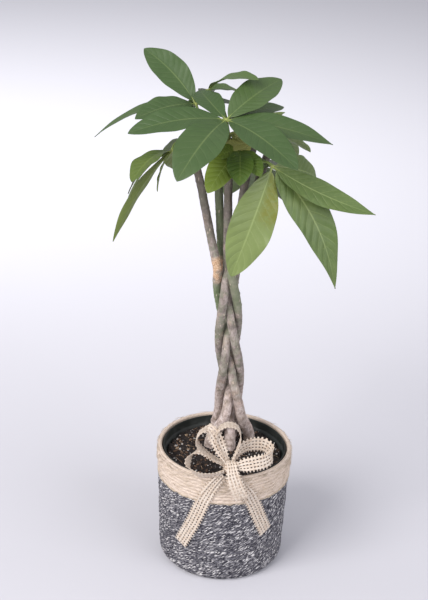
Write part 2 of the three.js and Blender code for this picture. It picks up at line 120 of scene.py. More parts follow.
# Clods, crumbs and grit: height, how many to a millimetre, and where the noise is cut
SOIL_GRAINS = ((2.1, 0.16, 3), (1.3, 0.42, 9), (0.5, 1.1, 5))
CLEAR_OF_STEM = 8.5
PERLITE_COUNT = 340
BARK_BIT_COUNT = 330
TWIG_COUNT = 60

# Braided stems, in millimetres
STEM_COUNT = 5
STEM_HEIGHTS_BELOW_BRAID = (95, 115, 130, 143, 150, 163, 176, 189, 202)
STEM_FOOT_Z = 143
BRAID_START = 215
BRAID_EASE = 30
BRAID_END = 392
BRAID_STEP = 11
BRAID_PERIOD = 390
BRAID_PHASE_Z = 389.5
BRAID_HALF_WIDTH = 11
BRAID_HALF_DEPTH = 11.6
BRAID_LOOSER_BELOW = 0.14
BRAID_AXIS_POINT = (5.5, 14, 200)
BRAID_LEAN = (-0.067, -0.07)
STEM_RADIUS = 5.1
STEM_FOOT_EXTRA = 1.95
STEM_EXTRA_AT_START = 0.6
STEM_TIP_RADIUS = 4.7
STEM_SIDES = 32
STEM_SAMPLES = 420
STEM_FEET = [(7, 8), (-13, 35), (-19, 12), (9, 40), (32, 34)]
STEM_TOPS = [
    ((-10, -2, 500), (-10, -5, 545)),
    ((26, 16, 500), (36, 22, 535)),
    ((9, -6, 500), (16, -10, 546)),
    ((-22, 7, 500), (-28, 7, 556)),
    ((-43, -3, 500), (-56, 0, 545)),
]
# Old leaf scars: lowest, highest, and the least and most between two
LEAF_SCARS = (150, 530, 16, 34)
# Heights between which a stem's bark is still green, and how green
GREEN_STRETCHES = [(300, 326, 0.3), (300, 340, 0.3), (338, 400, 0.55), (402, 560, 0.85),
                   (318, 374, 0.95)]
GREEN_BLEND = 22
# Heights of the corky tan scar where two stems press on each other
CORK_STRETCHES = {4: (376, 408), 3: (386, 404)}
CORK_BLEND = 6
SHOOTS_A_STEM = 3

# Leaves, in millimetres: stem, height it leaves the stem, hub, bend of the leaf stalk, the
# way the upper face looks, kind of blade, and the leaflets. A leaflet: tip seen from the hub,
# widest width, arch. Some also have a roll in degrees, a bend to their side, the share of
# the length where they are widest, and a taper.
LEAFLET_USUAL_END = (0, 0, 0.53, 0.7)
BLADE_FOLD = 0.16
BLADE_FULLNESS = 0.65
STALK_HALF_WIDTH = 1.1
TIP_HALF_WIDTH = 0.5
BLADE_THICKNESS = 0.6
BLADE_STATIONS = 72
BLADE_COLUMNS = 18
SIDE_VEINS = 11
VEIN_SLANT = 0.16
WAVE_TO_QUILT = 2.6
RIB_BASE_SHARE = 0.2
RIB_BASE_RADII = (1.5, 0.45)
RIB_BASE_SIDES = 8
PETIOLE_RADIUS = 1.5
PETIOLE_SAMPLES = 28
HUB_RADIUS = 2.3
HUB_RINGS = 7
LEAVES = {
    "leaf_1": (0, 535, (-16, -28, 579), (-14, -10, 562), (0, -0.45, 0.9), "dark", [
        (-49, -90, -45, 50, 10), (-106, -30, -12, 38, 9),
        (-31, 58, 18, 30, 6, 0, -4), (61, 58, 35, 42, 5),
        (119, -8, -21, 35, 7, 0, 0, 0.5, 1), (78, -70, -33, 42, 9),
        (66, 62, 2, 26, 4),
    ]),
    "leaf_2": (3, 548, (-51, 18, 584), (-44, 14, 568), (-0.2, -0.5, 0.85), "dark", [
        (-63, 48, 51, 37, 6, 0, 3), (-66, -40, -10, 35, 6),
        (-116, 6, -45, 22, 14, 20, 0, 0.45, 1), (51, 71, -15, 25, 3),
    ]),
    "leaf_3": (0, 541, (-39, 45, 594), (-16, 34, 592), (0, -0.2, 1), "mid", [
        (57, -47, 25, 30, 9), (42, 32, -10, 24, 5),
        (-2, 58, -24, 20, 5), (-22, 44, -42, 18, 5),
    ]),
    "leaf_4": (2, 520, (38, -30, 529), (28, -24, 538), (0.2, -0.75, 0.5), "bright", [
        (-41, -40, -119, 50, 8), (80, -15, -139, 46, 12, 0, -10, 0.38, 1),
        (117, -25, -44, 29, 0, 0, 5, 0.48, 1), (-28, 58, -28, 22, 5),
        (55, 62, -30, 34, 8),
    ]),
    "leaf_5": (4, 536, (-75, -20, 540), (-72, -14, 556), (-0.5, -0.3, 0.7), "olive", [
        (-41, -50, -24, 37, 8), (-50, 12, -58, 20, 8, 20),
        (-49, -18, -58, 14, 8, 25), (-14, -30, -40, 18, 4, 40),
        (-65, -10, -109, 20, 8, 62), (19, 70, -46, 34, 8),
    ]),
    "leaf_6": (2, 532, (1, -18, 543), (8, -14, 545), (0, -0.5, 0.85), "fresh", [
        (-34, -49, -37, 33, 6), (1, -52, -26, 30, 5),
        (-26, -16, -6, 22, 3), (24, -34, -20, 24, 3),
    ]),
    "leaf_7": (4, 528, (-39, 40, 539), (-46, 20, 542), (-0.2, 0.5, 0.8), "dark", [
        (-29, 80, -10, 38, 10), (-9, 88, -53, 36, 10),
        (21, 70, -44, 34, 8), (-45, 30, 7, 24, 5),
        (-52, 52, -44, 30, 8),
    ]),
    "leaf_8": (1, 528, (15, 40, 541), (24, 32, 545), (0.3, 0.5, 0.8), "fresh", [
        (73, 40, -25, 34, 9), (59, 75, -43, 38, 10),
        (16, 95, -41, 40, 10), (39, 50, 20, 28, 6),
        (-16, 84, -6, 32, 8),
    ]),
    "leaf_9": (1, 500, (13, 48, 506), (22, 34, 512), (0.2, 0.6, 0.6), "dark", [
        (22, 50, -79, 38, 8), (57, 60, -68, 38, 8),
        (-26, 54, -58, 30, 8), (-4, 88, -44, 36, 8),
        (36, 84, -30, 34, 8),
    ]),
}
# Small new leaves at the stem tops: hub, the way the upper face looks, leaflets
YOUNG_LEAVES = [
    ((14, -12, 549), (0.2, -0.5, 0.8), [
        (-36, -6, -9, 17, 4), (-27, 4, 9, 14, 3),
        (-15, -13, -14, 11, 2), (15, -11, -8, 10, 2),
        (-8, -6, 17, 8, 2),
    ]),
    ((-10, -7, 549), (-0.1, -0.5, 0.8), [
        (-14, -4, 9, 10, 2), (9, -9, 9, 9, 2),
        (16, -6, -1, 10, 2), (-6, -12, -10, 9, 2),
    ]),
]
# Kinds of blade: deep, middle and pale colour, how far the veins show, quilting by the width
BLADES = {
    "dark": ((0.041, 0.080, 0.021), (0.060, 0.101, 0.030), (0.15, 0.20, 0.07), 0.05, 0.008),
    "mid": ((0.046, 0.092, 0.018), (0.070, 0.122, 0.026), (0.18, 0.25, 0.08), 0.06, 0.008),
    "fresh": ((0.070, 0.130, 0.018), (0.145, 0.205, 0.024), (0.27, 0.36, 0.09), 0.14, 0.014),
    "olive": ((0.050, 0.092, 0.013), (0.095, 0.135, 0.018), (0.24, 0.31, 0.07), 0.10, 0.012),
    "bright": ((0.080, 0.128, 0.030), (0.155, 0.205, 0.060), (0.30, 0.37, 0.14), 0.16, 0.017),
    "young": ((0.230, 0.270, 0.055), (0.430, 0.430, 0.140), (0.56, 0.57, 0.32), 0.20, 0.008),
}
# How light each leaflet of some leaves is, from 0 to 1
LEAFLET_SHADES = {"leaf_4": (1, 0.15, 0, 0.5, 0.2), "leaf_6": (0.9, 0, 0.7, 0.2)}
# The leaflet with painted shade, an olive patch: leaf, number, and where the patch begins and ends
# along it
PAINTED_SHADE_PATCH = ("leaf_4", 0, 0.06, 0.5)
# Colour of the painted shade patch
PAINTED_SHADE_OLIVE = (0.150, 0.165, 0.022)

# Ribbon bow, in millimetres
RIBBON_WIDTH = 20
RIBBON_PITCH = 4.3
CELLS_A_PITCH = 4
RIBBON_BANDS = 4
RIBBON_GAP = 1.3
RIBBON_TOOTH = 2.2
TOOTH_END_SLANT = 0.35
RIBBON_CLEARANCE = 1
RIBBON_SAMPLES = 400
BOW_LOOPS = {
    "bow_loop_upper_left": (
        [(4, -80, 170), (-16, -78, 179), (-29, -76, 189), (-35, -75, 200), (-31, -74, 210),
         (-22, -74, 215), (-13, -76, 206), (-5, -80, 191), (4, -83, 173)],
        [(0, 0.7, 0), (0, 1, 0.1), (0.15, 1, 0), (0.75, 0.5, 0.4), (0.5, 0.4, 0.3)],
    ),
    "bow_loop_lower_left": (
        [(4, -82, 168), (-8, -80, 175), (-22, -78, 183), (-35, -77, 185), (-43, -78, 177),
         (-43, -82, 167), (-33, -88, 161), (-17, -90, 161), (0, -86, 165)],
        [(0, 0.7, 0), (0, 0.95, -0.2), (0.45, 0.8, -0.2), (0, 0.6, -0.7), (0, 0.5, -0.6)],
    ),
    "bow_loop_top": (
        [(7, -80, 172), (-2, -77, 186), (-10, -73, 200), (-10, -70, 212), (2, -68, 219),
         (13, -68, 216), (18, -70, 205), (14, -75, 188), (8, -80, 172)],
        [(0, 0.7, 0), (0, 1, -0.1), (0, 1, -0.1), (0, 1, -0.1), (0, 0.7, 0)],
    ),
    "bow_loop_right": (
        [(9, -83, 168), (20, -87, 174), (37, -86, 178), (51, -79, 179), (57, -69, 182),
         (50, -60, 187), (37, -58, 188), (21, -65, 186), (9, -78, 173)],
        [(0, -0.12, 0.8), (0, 0.35, 0.93), (0, 0.2, 0.95), (0, 0.1, 0.95), (0, 0, 0.8)],
    ),
}
# The tie goes over the knot from behind and hangs down in front
BOW_TIE = (
    [(5, -76, 162), (5, -74, 170), (6, -79, 176), (8, -87, 175), (10, -93, 166),
     (14, -96, 153), (18, -96, 143), (23, -94, 132)],
    [(0.7, 0, 0), (0.7, 0, 0), (0.75, 0, 0), (1, 0.05, 0.25), (1, 0.05, 0.25)],
)
# The tails lie on the basket: the way round from the front in degrees, and the height
BOW_TAILS = {
    "bow_tail_left": [(-1, 160), (-8, 145), (-15, 125), (-25, 86), (-38, 46)],
    "bow_tail_right": [(8, 160), (16, 142), (25, 119), (33, 93), (42, 66)],
}
# Pleats at the ends of a strip: their share of its length, and its width there
LOOP_GATHER = (0.16, 0.55)
TAIL_GATHER = (0.42, 0.7)
PLEAT_DEPTH = 1.3
KNOT_CENTRE = (6, -82, 168)
KNOT_RADII = (7.5, 6.2, 6.8)
KNOT_PLEATS = 9
KNOT_RINGS = 22
KNOT_SIDES = 72
KNOT_END = 0.05


# Vectors and curves

def unit(vectors):
    lengths = np.linalg.norm(vectors, axis=-1, keepdims=True)
    return vectors / np.maximum(lengths, 1e-12)


def smooth(t):
    clamped = np.clip(t, 0, 1)
    return clamped * clamped * (3 - 2 * clamped)


def circle(count):
    """Angles evenly round a circle."""
    return TURN * np.arange(count) / count


def around(radius, height, angles):
    """Points round the z axis."""
    radius, height, angles = np.broadcast_arrays(radius, height, angles)
    return np.stack([radius * np.cos(angles), radius * np.sin(angles), height], -1)


def spline(points, samples):
    """Centripetal Catmull-Rom curve through the points, and its directions."""
    given = np.array(points, float)
    padded = np.vstack([2 * given[0] - given[1], given, 2 * given[-1] - given[-2]])
    steps = np.maximum(np.sqrt(np.linalg.norm(np.diff(padded, axis=0), axis=1)), 0.01)
    spans = len(given) - 1
    along = np.linspace(0, spans, samples)
    span = np.minimum(along.astype(int), spans - 1)
    t = (along - span)[:, None]
    before, start, end, after = (padded[span + k] for k in range(4))
    d0, d1, d2 = (steps[span + k][:, None] for k in range(3))
    leave = ((start - before) / d0 - (end - before) / (d0 + d1) + (end - start) / d1) * d1
    arrive = ((end - start) / d1 - (after - start) / (d1 + d2) + (after - end) / d2) * d1
    square = -3 * start + 3 * end - 2 * leave - arrive
    cube = 2 * start - 2 * end + leave + arrive
    places = start + leave * t + square * t ** 2 + cube * t ** 3
    return places, unit(leave + 2 * square * t + 3 * cube * t ** 2)


def bezier(start, bend, end, samples):
    t = np.linspace(0, 1, samples)[:, None]
    a, b, c = (np.array(p, float) for p in (start, bend, end))
    places = a * (1 - t) ** 2 + 2 * b * t * (1 - t) + c * t ** 2
    return places, unit(2 * (b - a) * (1 - t) + 2 * (c - b) * t)


def reach_along(points):
    """How far along its line each point is."""
    return np.concatenate([[0], np.cumsum(np.linalg.norm(np.diff(points, axis=0), axis=1))])


def points_at(points, reached, at):
    return np.stack([np.interp(at, reached, points[:, k]) for k in range(3)], 1)


def side_frames(directions):
    """Two directions square to a curve at each of its points, without twist along it."""
    first = np.array((0.0, 1.0, 0.0) if abs(directions[0][1]) < 0.9 else (1.0, 0.0, 0.0))
    sides = []
    for direction in directions:
        first = first - direction * np.dot(first, direction)
        first = first / np.linalg.norm(first)
        sides.append(first)
    sides = np.array(sides)
    return sides, np.cross(directions, sides)


# Meshes

class Piece:
    """Vertices, faces and their surface coordinates, gathered into one object. Millimetres."""

    def __init__(self):
        self.vertices = []
        self.tones = []
        self.faces = []
        self.uvs = []
        self.looks = []
        self.count = 0

    def add_points(self, points, tones=(0, 0, 0)):
        points = np.asarray(points, float).reshape(-1, 3)
        start = self.count
        self.vertices.append(points)
        tones = np.asarray(tones, float).reshape(-1, 3)
        self.tones.append(np.broadcast_to(tones, (len(points), 3)))
        self.count += len(points)
        return start

    def add_face(self, corners, uvs=None, look=0):
        self.faces.append(list(corners))
        self.uvs.extend([(0, 0)] * len(corners) if uvs is None else uvs)
        self.looks.append(look)

    def add_grid(self, points, uvs, tones=(0, 0, 0), wrap=False, look=0):
        """Quads over rows and columns of points. A wrapped grid has one more column of uvs."""
        rows, columns = points.shape[:2]
        start = self.add_points(points, tones)
        width = columns if wrap else columns - 1
        row, column = np.meshgrid(np.arange(rows - 1), np.arange(width), indexing="ij")
        row, column = row.ravel(), column.ravel()
        steps = [(0, 0), (0, 1), (1, 1), (1, 0)]
        quads = [start + (row + i) * columns + (column + j) % columns for i, j in steps]
        corners = np.stack([uvs[row + i, column + j] for i, j in steps], 1)
        self.faces.extend(np.stack(quads, 1).tolist())
        self.uvs.extend(map(tuple, corners.reshape(-1, 2).tolist()))
        self.looks.extend([look] * len(row))
        return start

    def close_ends(self, start, rings, sides, look=0):
        """Faces over the first and last ring of a wrapped grid."""
        self.add_face([start + k for k in reversed(range(sides))], look=look)
        self.add_face([start + (rings - 1) * sides + k for k in range(sides)], look=look)

    def join_rings(self, first, second, sides):
        """Quads between two rings that already have their points."""
        for k in range(sides):
            after = (k + 1) % sides
            self.add_face([first + k, first + after, second + after, second + k])

    def build(self, name, materials, nodes=()):
        mesh = bpy.data.meshes.new(name)
        mesh.from_pydata((np.vstack(self.vertices) * MM).tolist(), [], self.faces)
        for material in materials:
            mesh.materials.append(material)
        mesh.polygons.foreach_set("material_index", self.looks)
        layer = mesh.uv_layers.new(name="surface")
        layer.data.foreach_set("uv", np.array(self.uvs, float).ravel())
        tone = mesh.attributes.new("tone", "FLOAT_VECTOR", "POINT")
        tone.data.foreach_set("vector", np.vstack(self.tones).ravel())
        mesh.polygons.foreach_set("use_smooth", [True] * len(mesh.polygons))
        mesh.update()
        obj = link(name, mesh)
        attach(obj, BODY)
        if nodes:
            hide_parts(*nodes)
        return obj


def link(name, data):
    obj = bpy.data.objects.new(name, data)
    bpy.context.scene.collection.objects.link(obj)
    return obj


def uv_grid(u, v):
    return np.stack(np.meshgrid(u, v), -1)


def first_tone(values):
    return values[..., None] * np.array((1.0, 0, 0))


def add_tube(piece, places, directions, radii, sides, tones=(0, 0, 0), look=0):
    """A closed round tube. radii is one number a ring, or one a ring and side."""
    first, second = side_frames(directions)
    angles = circle(sides)[None, :, None]
    outward = first[:, None] * np.cos(angles) + second[:, None] * np.sin(angles)
    radii = np.asarray(radii, float).reshape(len(places), -1, 1)
    uvs = uv_grid(np.linspace(0, 1, sides + 1), reach_along(places) / 100)
    start = piece.add_grid(places[:, None] + outward * radii, uvs, tones, wrap=True, look=look)
    piece.close_ends(start, len(places), sides, look)


def add_lathe(piece, profile, segments):
    """A surface turned round the z axis through (radius, height) points."""
    radius, height = np.array(profile, float).T[..., None]
    uvs = uv_grid(np.linspace(0, 1, segments + 1), np.linspace(0, 1, len(profile)))
    return piece.add_grid(around(radius, height, circle(segments)), uvs, wrap=True)


def pebble(seed):
    """The points and faces of a small uneven lump about one unit across its middle."""
    shape = bmesh.new()
    bmesh.ops.create_icosphere(shape, subdivisions=1, radius=1)
    dice = random.Random(seed)
    shift = Vector([dice.uniform(0, 50) for _ in range(3)])
    points = [v.co * (1 + 0.35 * noise.noise(v.co * 1.3 + shift)) for v in shape.verts]
    faces = [[v.index for v in f.verts] for f in shape.faces]
    shape.free()
    return np.array(points), faces


def add_lump(piece, lump, place, sizes, turn, tone):
    points, faces = lump
    turned = (points * np.array(sizes)) @ np.array(turn.to_matrix()).T + np.array(place)
    start = piece.add_points(turned, (tone, 0, 0))
    for face in faces:
        piece.add_face([start + k for k in face])


# Materials

def maths(operation, swapped=False):
    """A way to reckon with values: it makes a Math node."""
    def work(*terms):
        return terms[0].look.maths(operation, *(terms[::-1] if swapped else terms))
    return work


class Value:
    """What a node gives. Sums with it make more nodes."""

    def __init__(self, look, socket):
        self.look = look
        self.socket = socket

    __add__ = __radd__ = maths("ADD")
    __mul__ = __rmul__ = maths("MULTIPLY")
    __sub__ = maths("SUBTRACT")
    __rsub__ = maths("SUBTRACT", swapped=True)
    __abs__ = maths("ABSOLUTE")
    floor = maths("FLOOR")
    fract = maths("FRACT")
    or_more = maths("MAXIMUM")

    def fade(self, low, high):
        """0 below low, 1 above high, and smooth between them."""
        inputs = {"Value": self, "From Min": low, "From Max": high}
        return self.look.node("MapRange", inputs, "Result", interpolation_type="SMOOTHSTEP")


class Look:
    """A material's nodes, made one at a time, and the colour reached so far."""

    def __init__(self, name, roughness, specular, colour=None):
        self.material = bpy.data.materials.new(name)
        self.material.use_nodes = True
        self.tree = self.material.node_tree
        self.shader = self.tree.nodes["Principled BSDF"]
        self.put(self.shader, {"Roughness": roughness, "Specular IOR Level": specular})
        self.colour = colour

    def put(self, node, inputs):
        for key, value in inputs.items():
            socket = node.inputs[key]
            if isinstance(value, Value):
                self.tree.links.new(value.socket, socket)
            else:
                socket.default_value = (*value, 1) if socket.type == "RGBA" else value

    def make(self, kind, inputs, **settings):
        made = self.tree.nodes.new("ShaderNode" + kind)
        for key, value in settings.items():
            setattr(made, key, value)
        self.put(made, inputs)
        return made

    def node(self, kind, inputs, *outputs, **settings):
        """Makes a node and returns the outputs asked for."""
        made = self.make(kind, inputs, **settings)
        values = [Value(self, made.outputs[key]) for key in outputs]
        return values if len(values) > 1 else values[0]

    def maths(self, operation, *terms):
        return self.node("Math", dict(enumerate(terms)), 0, operation=operation)

    def mix(self, share, first, second):
        return self.node("Mix", {"Factor": share, 6: first, 7: second}, 2, data_type="RGBA")

    def layer(self, share, colour):
        """Lays a share of a colour over the colour so far."""
        self.colour = self.mix(share, self.colour, colour)

    def ramp(self, value, stops, steps=False):
        """Colours by the value at which each is reached, or begins."""
        made = self.make("ValToRGB", {"Fac": value})
        ramp = made.color_ramp
        ramp.interpolation = "CONSTANT" if steps else "LINEAR"
        while len(ramp.elements) < len(stops):
            ramp.elements.new(0.5)
        for element, (place, colour) in zip(ramp.elements, stops.items()):
            element.position = place
            element.color = (*colour, 1)
        return Value(self, made.outputs["Color"])

    def places(self):
        return self.node("TexCoord", {}, "Object")

    def split(self, vector):
        return self.node("SeparateXYZ", {"Vector": vector}, "X", "Y", "Z")

    def surface(self):
        """The surface coordinates u and v."""
        return self.split(self.node("TexCoord", {}, "UV"))[:2]

    def tone(self):
        """The three tone values that the mesh carries."""
        return self.split(self.node("Attribute", {}, "Vector", attribute_name="tone"))

    def vector(self, x, y, z=0):
        return self.node("CombineXYZ", {"X": x, "Y": y, "Z": z}, 0)

    def noise(self, scale, detail=3, roughness=0.55, vector=None):
        inputs = {"Vector": vector or self.places(), "Scale": scale, "Detail": detail,
                  "Roughness": roughness}
        return self.node("TexNoise", inputs, "Fac")

    def random(self, vector):
        return self.node("TexWhiteNoise", {"Vector": vector}, "Value")

    def cells(self, scale, vector=None):
        """A random number for each cell, and how far it is from the cell's middle."""
        inputs = {"Vector": vector or self.places(), "Scale": scale}
        place, distance = self.node("TexVoronoi", inputs, "Position", "Distance")
        return self.random(place), distance

    def finish(self, *bump):
        """Sets the colour, and the height, distance and strength of the bump if given."""
        self.put(self.shader, {"Base Color": self.colour})
        if bump:
            inputs = dict(zip(("Height", "Distance", "Strength"), bump))
            self.put(self.shader, {"Normal": self.node("Bump", inputs, "Normal")})
        return self.material


def twisted_yarns(look, stretches):
    """How far from a rope row's crest, a random number for each stretch of each yarn, and how
    far across the yarn."""
    u, v = look.surface()
    row, inside = v.floor(), v.fract()
    from_crest = inside - 0.5
    phase = (u + row * ROW_SHIFT - from_crest * ROPE_SLANT) * YARNS_A_STRAND
    yarn = phase.floor()
    offset = look.random(look.vector(yarn, row, 3))
    stretch = (inside * stretches + offset).floor()
    chosen = look.random(look.vector(yarn, row, stretch))
    return abs(from_crest), chosen, abs(phase.fract() - 0.5)


def grey_rope_look():
    """Charcoal and navy yarns with short white ones twisted in, and painted shade in the grooves
    between yarns and between rope rows.
    """
    look = Look("grey_rope", 0.92, 0.2)
    from_crest, chosen, across = twisted_yarns(look, 2.2)
    look.colour = look.ramp(chosen, {
        0: (0.032, 0.031, 0.044),
        0.28: (0.085, 0.083, 0.102),
        0.52: (0.17, 0.166, 0.188),
        0.74: (0.36, 0.35, 0.37),
        0.88: (0.74, 0.72, 0.72),
    }, steps=True)
    heather = look.noise(900, 3, 0.7)
    look.layer(0.5 * heather.fade(0.54, 0.66), (0.6, 0.58, 0.58))
    look.layer(0.5 * (1 - heather.fade(0.34, 0.46)), (0.026, 0.025, 0.034))
    # Painted shade: darkens the grooves between the yarns and between the rope rows.
    between = across.fade(0.36, 0.5).or_more(from_crest.fade(0.33, 0.5))
    look.layer(0.5 * between, (0.012, 0.012, 0.016))
    return look.finish(heather - 0.8 * between, 0.0007, 0.8)


def cream_rope_look():
    """Natural jute, wrapped so that its fibres run almost level, with painted shade in the grooves
    between rows.
    """
    look = Look("cream_rope", 0.9, 0.2)
    from_crest, chosen, _ = twisted_yarns(look, 1)
    u, v = look.surface()
    fibres = look.noise(2.2, 5, 0.7, look.vector(0.9 * u, 5 * v))
    look.colour = look.ramp(fibres, {
        0.32: (0.37, 0.26, 0.17),
        0.42: (0.57, 0.455, 0.365),
        0.54: (0.71, 0.595, 0.51),
        0.68: (0.84, 0.75, 0.68),
    })
    look.layer(0.25 * chosen, (0.72, 0.615, 0.51))
    look.layer(0.5 * look.noise(480, 4, 0.75).fade(0.57, 0.68), (0.37, 0.26, 0.16))
    # Painted shade: darker towards the grooves between rope rows.
    look.layer(0.25 * from_crest.fade(0.38, 0.5), (0.33, 0.24, 0.16))
    return look.finish(fibres, 0.001, 0.8)


def fibre_look(slot):
    look = Look(slot.replace("rope", "fibre"), 0.8, 0.2, FIBRE_COLOURS[slot])
    look.layer(look.tone()[0], tuple(0.72 * c for c in look.colour))
    return look.finish()


def plastic_look():
    look = Look("pot_plastic", 0.42, 0.45, (0.014, 0.018, 0.016))
    dust = look.noise(60, 5).fade(0.45, 0.75)
    look.layer(dust, (0.038, 0.041, 0.039))
    look.put(look.shader, {"Roughness": 0.25 * dust + 0.36})
    return look.finish(look.noise(700, 2), 0.0002, 0.3)


def soil_look():
    look = Look("soil", 0.9, 0.3)
    clumps = look.noise(240, 5, 0.65)
    crumb, from_middle = look.cells(420)
    look.colour = look.ramp(clumps, {
        0.25: (0.008, 0.006, 0.006),
        0.5: (0.02, 0.015, 0.014),
        0.68: (0.048, 0.036, 0.03),
        0.85: (0.11, 0.08, 0.062),
    })
    look.layer(0.6 * crumb, (0.013, 0.011, 0.01))
    return look.finish(clumps - 0.6 * from_middle, 0.002, 0.9)


def perlite_look():
    look = Look("perlite", 0.85, 0.35, (0.46, 0.44, 0.43))
    pores = look.noise(1500)
    look.layer(look.tone()[0], (0.16, 0.14, 0.12))
    look.layer(pores.fade(0.5, 0.75), (0.2, 0.18, 0.17))
    return look.finish(pores, 0.0005, 0.8)


def bark_bit_look():
    look = Look("bark_bits", 0.85, 0.3)
    grain = look.noise(900, 4)
    look.colour = look.ramp(look.tone()[0], {
        0: (0.035, 0.022, 0.016),
        0.4: (0.11, 0.062, 0.038),
        0.75: (0.24, 0.145, 0.09),
        1: (0.42, 0.3, 0.2),
    })
    look.layer(grain.fade(0.4, 0.7), (0.05, 0.034, 0.026))
    return look.finish(grain, 0.0006, 0.8)


def stem_look():
    """Mottled bark: pale pinkish tan low down, grey green in patches above, dark at the crown."""
    look = Look("stem_bark", 0.78, 0.3)
    green, scar, pale = look.tone()
    level = look.split(look.places())[2]
    low = 1 - level.fade(0.19, 0.27)
    high = level.fade(0.415, 0.485)
    long_way = look.node("Mapping", {"Vector": look.places(), "Scale": (1, 1, 0.35)}, 0)
    cloud = look.noise(120, 6, 0.7)
    streak = look.noise(420, 4, 0.65, long_way)
    look.colour = look.ramp(cloud, {
        0.34: (0.145, 0.122, 0.108),
        0.45: (0.222, 0.188, 0.17),
        0.55: (0.3, 0.252, 0.232),
        0.66: (0.41, 0.35, 0.322),
    })
    look.layer(0.9 * low, look.ramp(cloud, {
        0.36: (0.27, 0.2, 0.165),
        0.46: (0.44, 0.35, 0.315),
        0.55: (0.58, 0.48, 0.445),
        0.66: (0.76, 0.67, 0.65),
    }))
    look.layer(0.35 * pale, (0.54, 0.47, 0.43))
    moss = look.noise(70, 4, 0.65).fade(0.44, 0.58) * (0.6 - 0.5 * low)
    look.layer(moss, look.mix(cloud, (0.095, 0.105, 0.062), (0.3, 0.31, 0.23)))
    look.layer(0.3 * look.noise(75).fade(0.53, 0.66), (0.46, 0.33, 0.26))
    look.layer(0.5 * streak.fade(0.5, 0.64), (0.135, 0.105, 0.085))
    look.layer(0.75 * high, look.mix(cloud, (0.055, 0.052, 0.04), (0.16, 0.14, 0.12)))
    skin = look.mix(streak.fade(0.35, 0.75), (0.12, 0.16, 0.075), (0.2, 0.235, 0.14))
    look.layer(green, look.mix(0.5 * high, skin, (0.08, 0.09, 0.055)))
    chance, from_middle = look.cells(330, long_way)
    speck = (1 - from_middle.fade(0.16, 0.3)) * chance.fade(0.72, 0.74)
    look.layer(0.7 * speck, (0.6, 0.5, 0.4))
    cork = look.noise(650, 4, 0.7)
    look.layer(scar, look.ramp(cork, {
        0.35: (0.3, 0.17, 0.09),
        0.5: (0.58, 0.38, 0.24),
        0.65: (0.8, 0.62, 0.45),
    }))
    return look.finish(0.6 * streak + 0.5 * speck + 1.5 * (cork * scar), 0.0009, 0.9)


def blade_look(kind):
    """Waxy blade: pale midrib and side veins from u across and v along, a paler underside, and
    painted shade in an olive patch.
    """
    deep, mid, pale, veins_show, _ = BLADES[kind]
    look = Look(f"blade_{kind}", 0.42, 0.5, deep)
    under, own, patch = look.tone()
    u, v = look.surface()
    across = abs(2 * u - 1)
    phase = (v + 0.03 * (look.noise(60, 2) - 0.5) - VEIN_SLANT * across) * SIDE_VEINS
    side_vein = 1 - abs(phase.fract() - 0.5).fade(0.02, 0.09)
    side_vein = side_vein * (1 - across.fade(0.55, 0.98))
    midrib = 1 - across.fade(0.016, 0.055)
    mottle = look.noise(260, 3, 0.6)
    lit = 0.7 * look.noise(38, 4, 0.6) + 0.5 * own
    look.layer(lit.fade(0.3, 0.85), mid)
    look.layer(0.25 * mottle.fade(0.45, 0.75), mid)
    look.layer(0.6 * under, tuple(0.75 * c for c in pale))
    # Painted shade: an olive patch where the third tone is set.
    look.layer(patch * mottle.fade(0.2, 0.6), PAINTED_SHADE_OLIVE)
    look.layer(veins_show * side_vein, pale)
    look.layer(0.5 * (1 - v.fade(0, 0.12)), pale)
    look.layer(midrib * (0.75 - 0.55 * v), pale)
    look.put(look.shader, {"Roughness": 0.16 * mottle + 0.4})
    return look.finish(0.35 * mottle - 0.6 * side_vein, 0.0005, 0.6)


def stalk_look():
    look = Look("leaf_stalk", 0.5, 0.45, (0.12, 0.19, 0.04))
    mottle = look.noise(300)
    look.layer(mottle.fade(0.35, 0.7), (0.2, 0.29, 0.07))
    look.layer(look.tone()[0], (0.28, 0.31, 0.08))
    return look.finish(mottle, 0.0003, 0.4)


def ribbon_look():
    """Natural jute: cords along the strip, cross threads at each pitch, uneven fibres, and painted
    shade at the cord edges, in the gaps and in the knot's pleat troughs.
    """
    look = Look("ribbon", 0.88, 0.2)
    u, v = look.surface()
    thread = look.random(look.vector(u.floor(), (21 * v).floor()))
    fibres = look.noise(4, 4, 0.65, look.vector(0.6 * u, 30 * v))
    look.colour = look.ramp(thread, {
        0: (0.49, 0.38, 0.29),
        0.35: (0.6, 0.5, 0.41),
        0.8: (0.67, 0.59, 0.51),
    })
    look.layer(0.35 * fibres.fade(0.45, 0.7), (0.75, 0.69, 0.63))
    # Painted shade: brown where the mesh tone is low, at the cord edges, in the gaps and in the
    # knot's pleat troughs.
    look.layer(0.7 * (1 - look.tone()[0].fade(0.1, 0.75)), (0.36, 0.24, 0.15))
    return look.finish(fibres, 0.0004, 0.8)


# Basket

def basket_radius(z):
    straight = BASKET_BASE_RADIUS + (BASKET_RIM_RADIUS - BASKET_BASE_RADIUS) * (z / BASKET_HEIGHT)
    below = np.clip((BASKET_EDGE_ROUND - z) / BASKET_EDGE_ROUND, 0, 1)
    return straight - BASKET_EDGE_ROUND * (1 - np.sqrt(1 - below ** 2))


def crest_of(row_place):
    """0 in the groove between two rope rows and 1 on a row's crest."""
    return np.sqrt(np.clip(1 - (2 * (row_place % 1) - 1) ** 2, 0, 1))


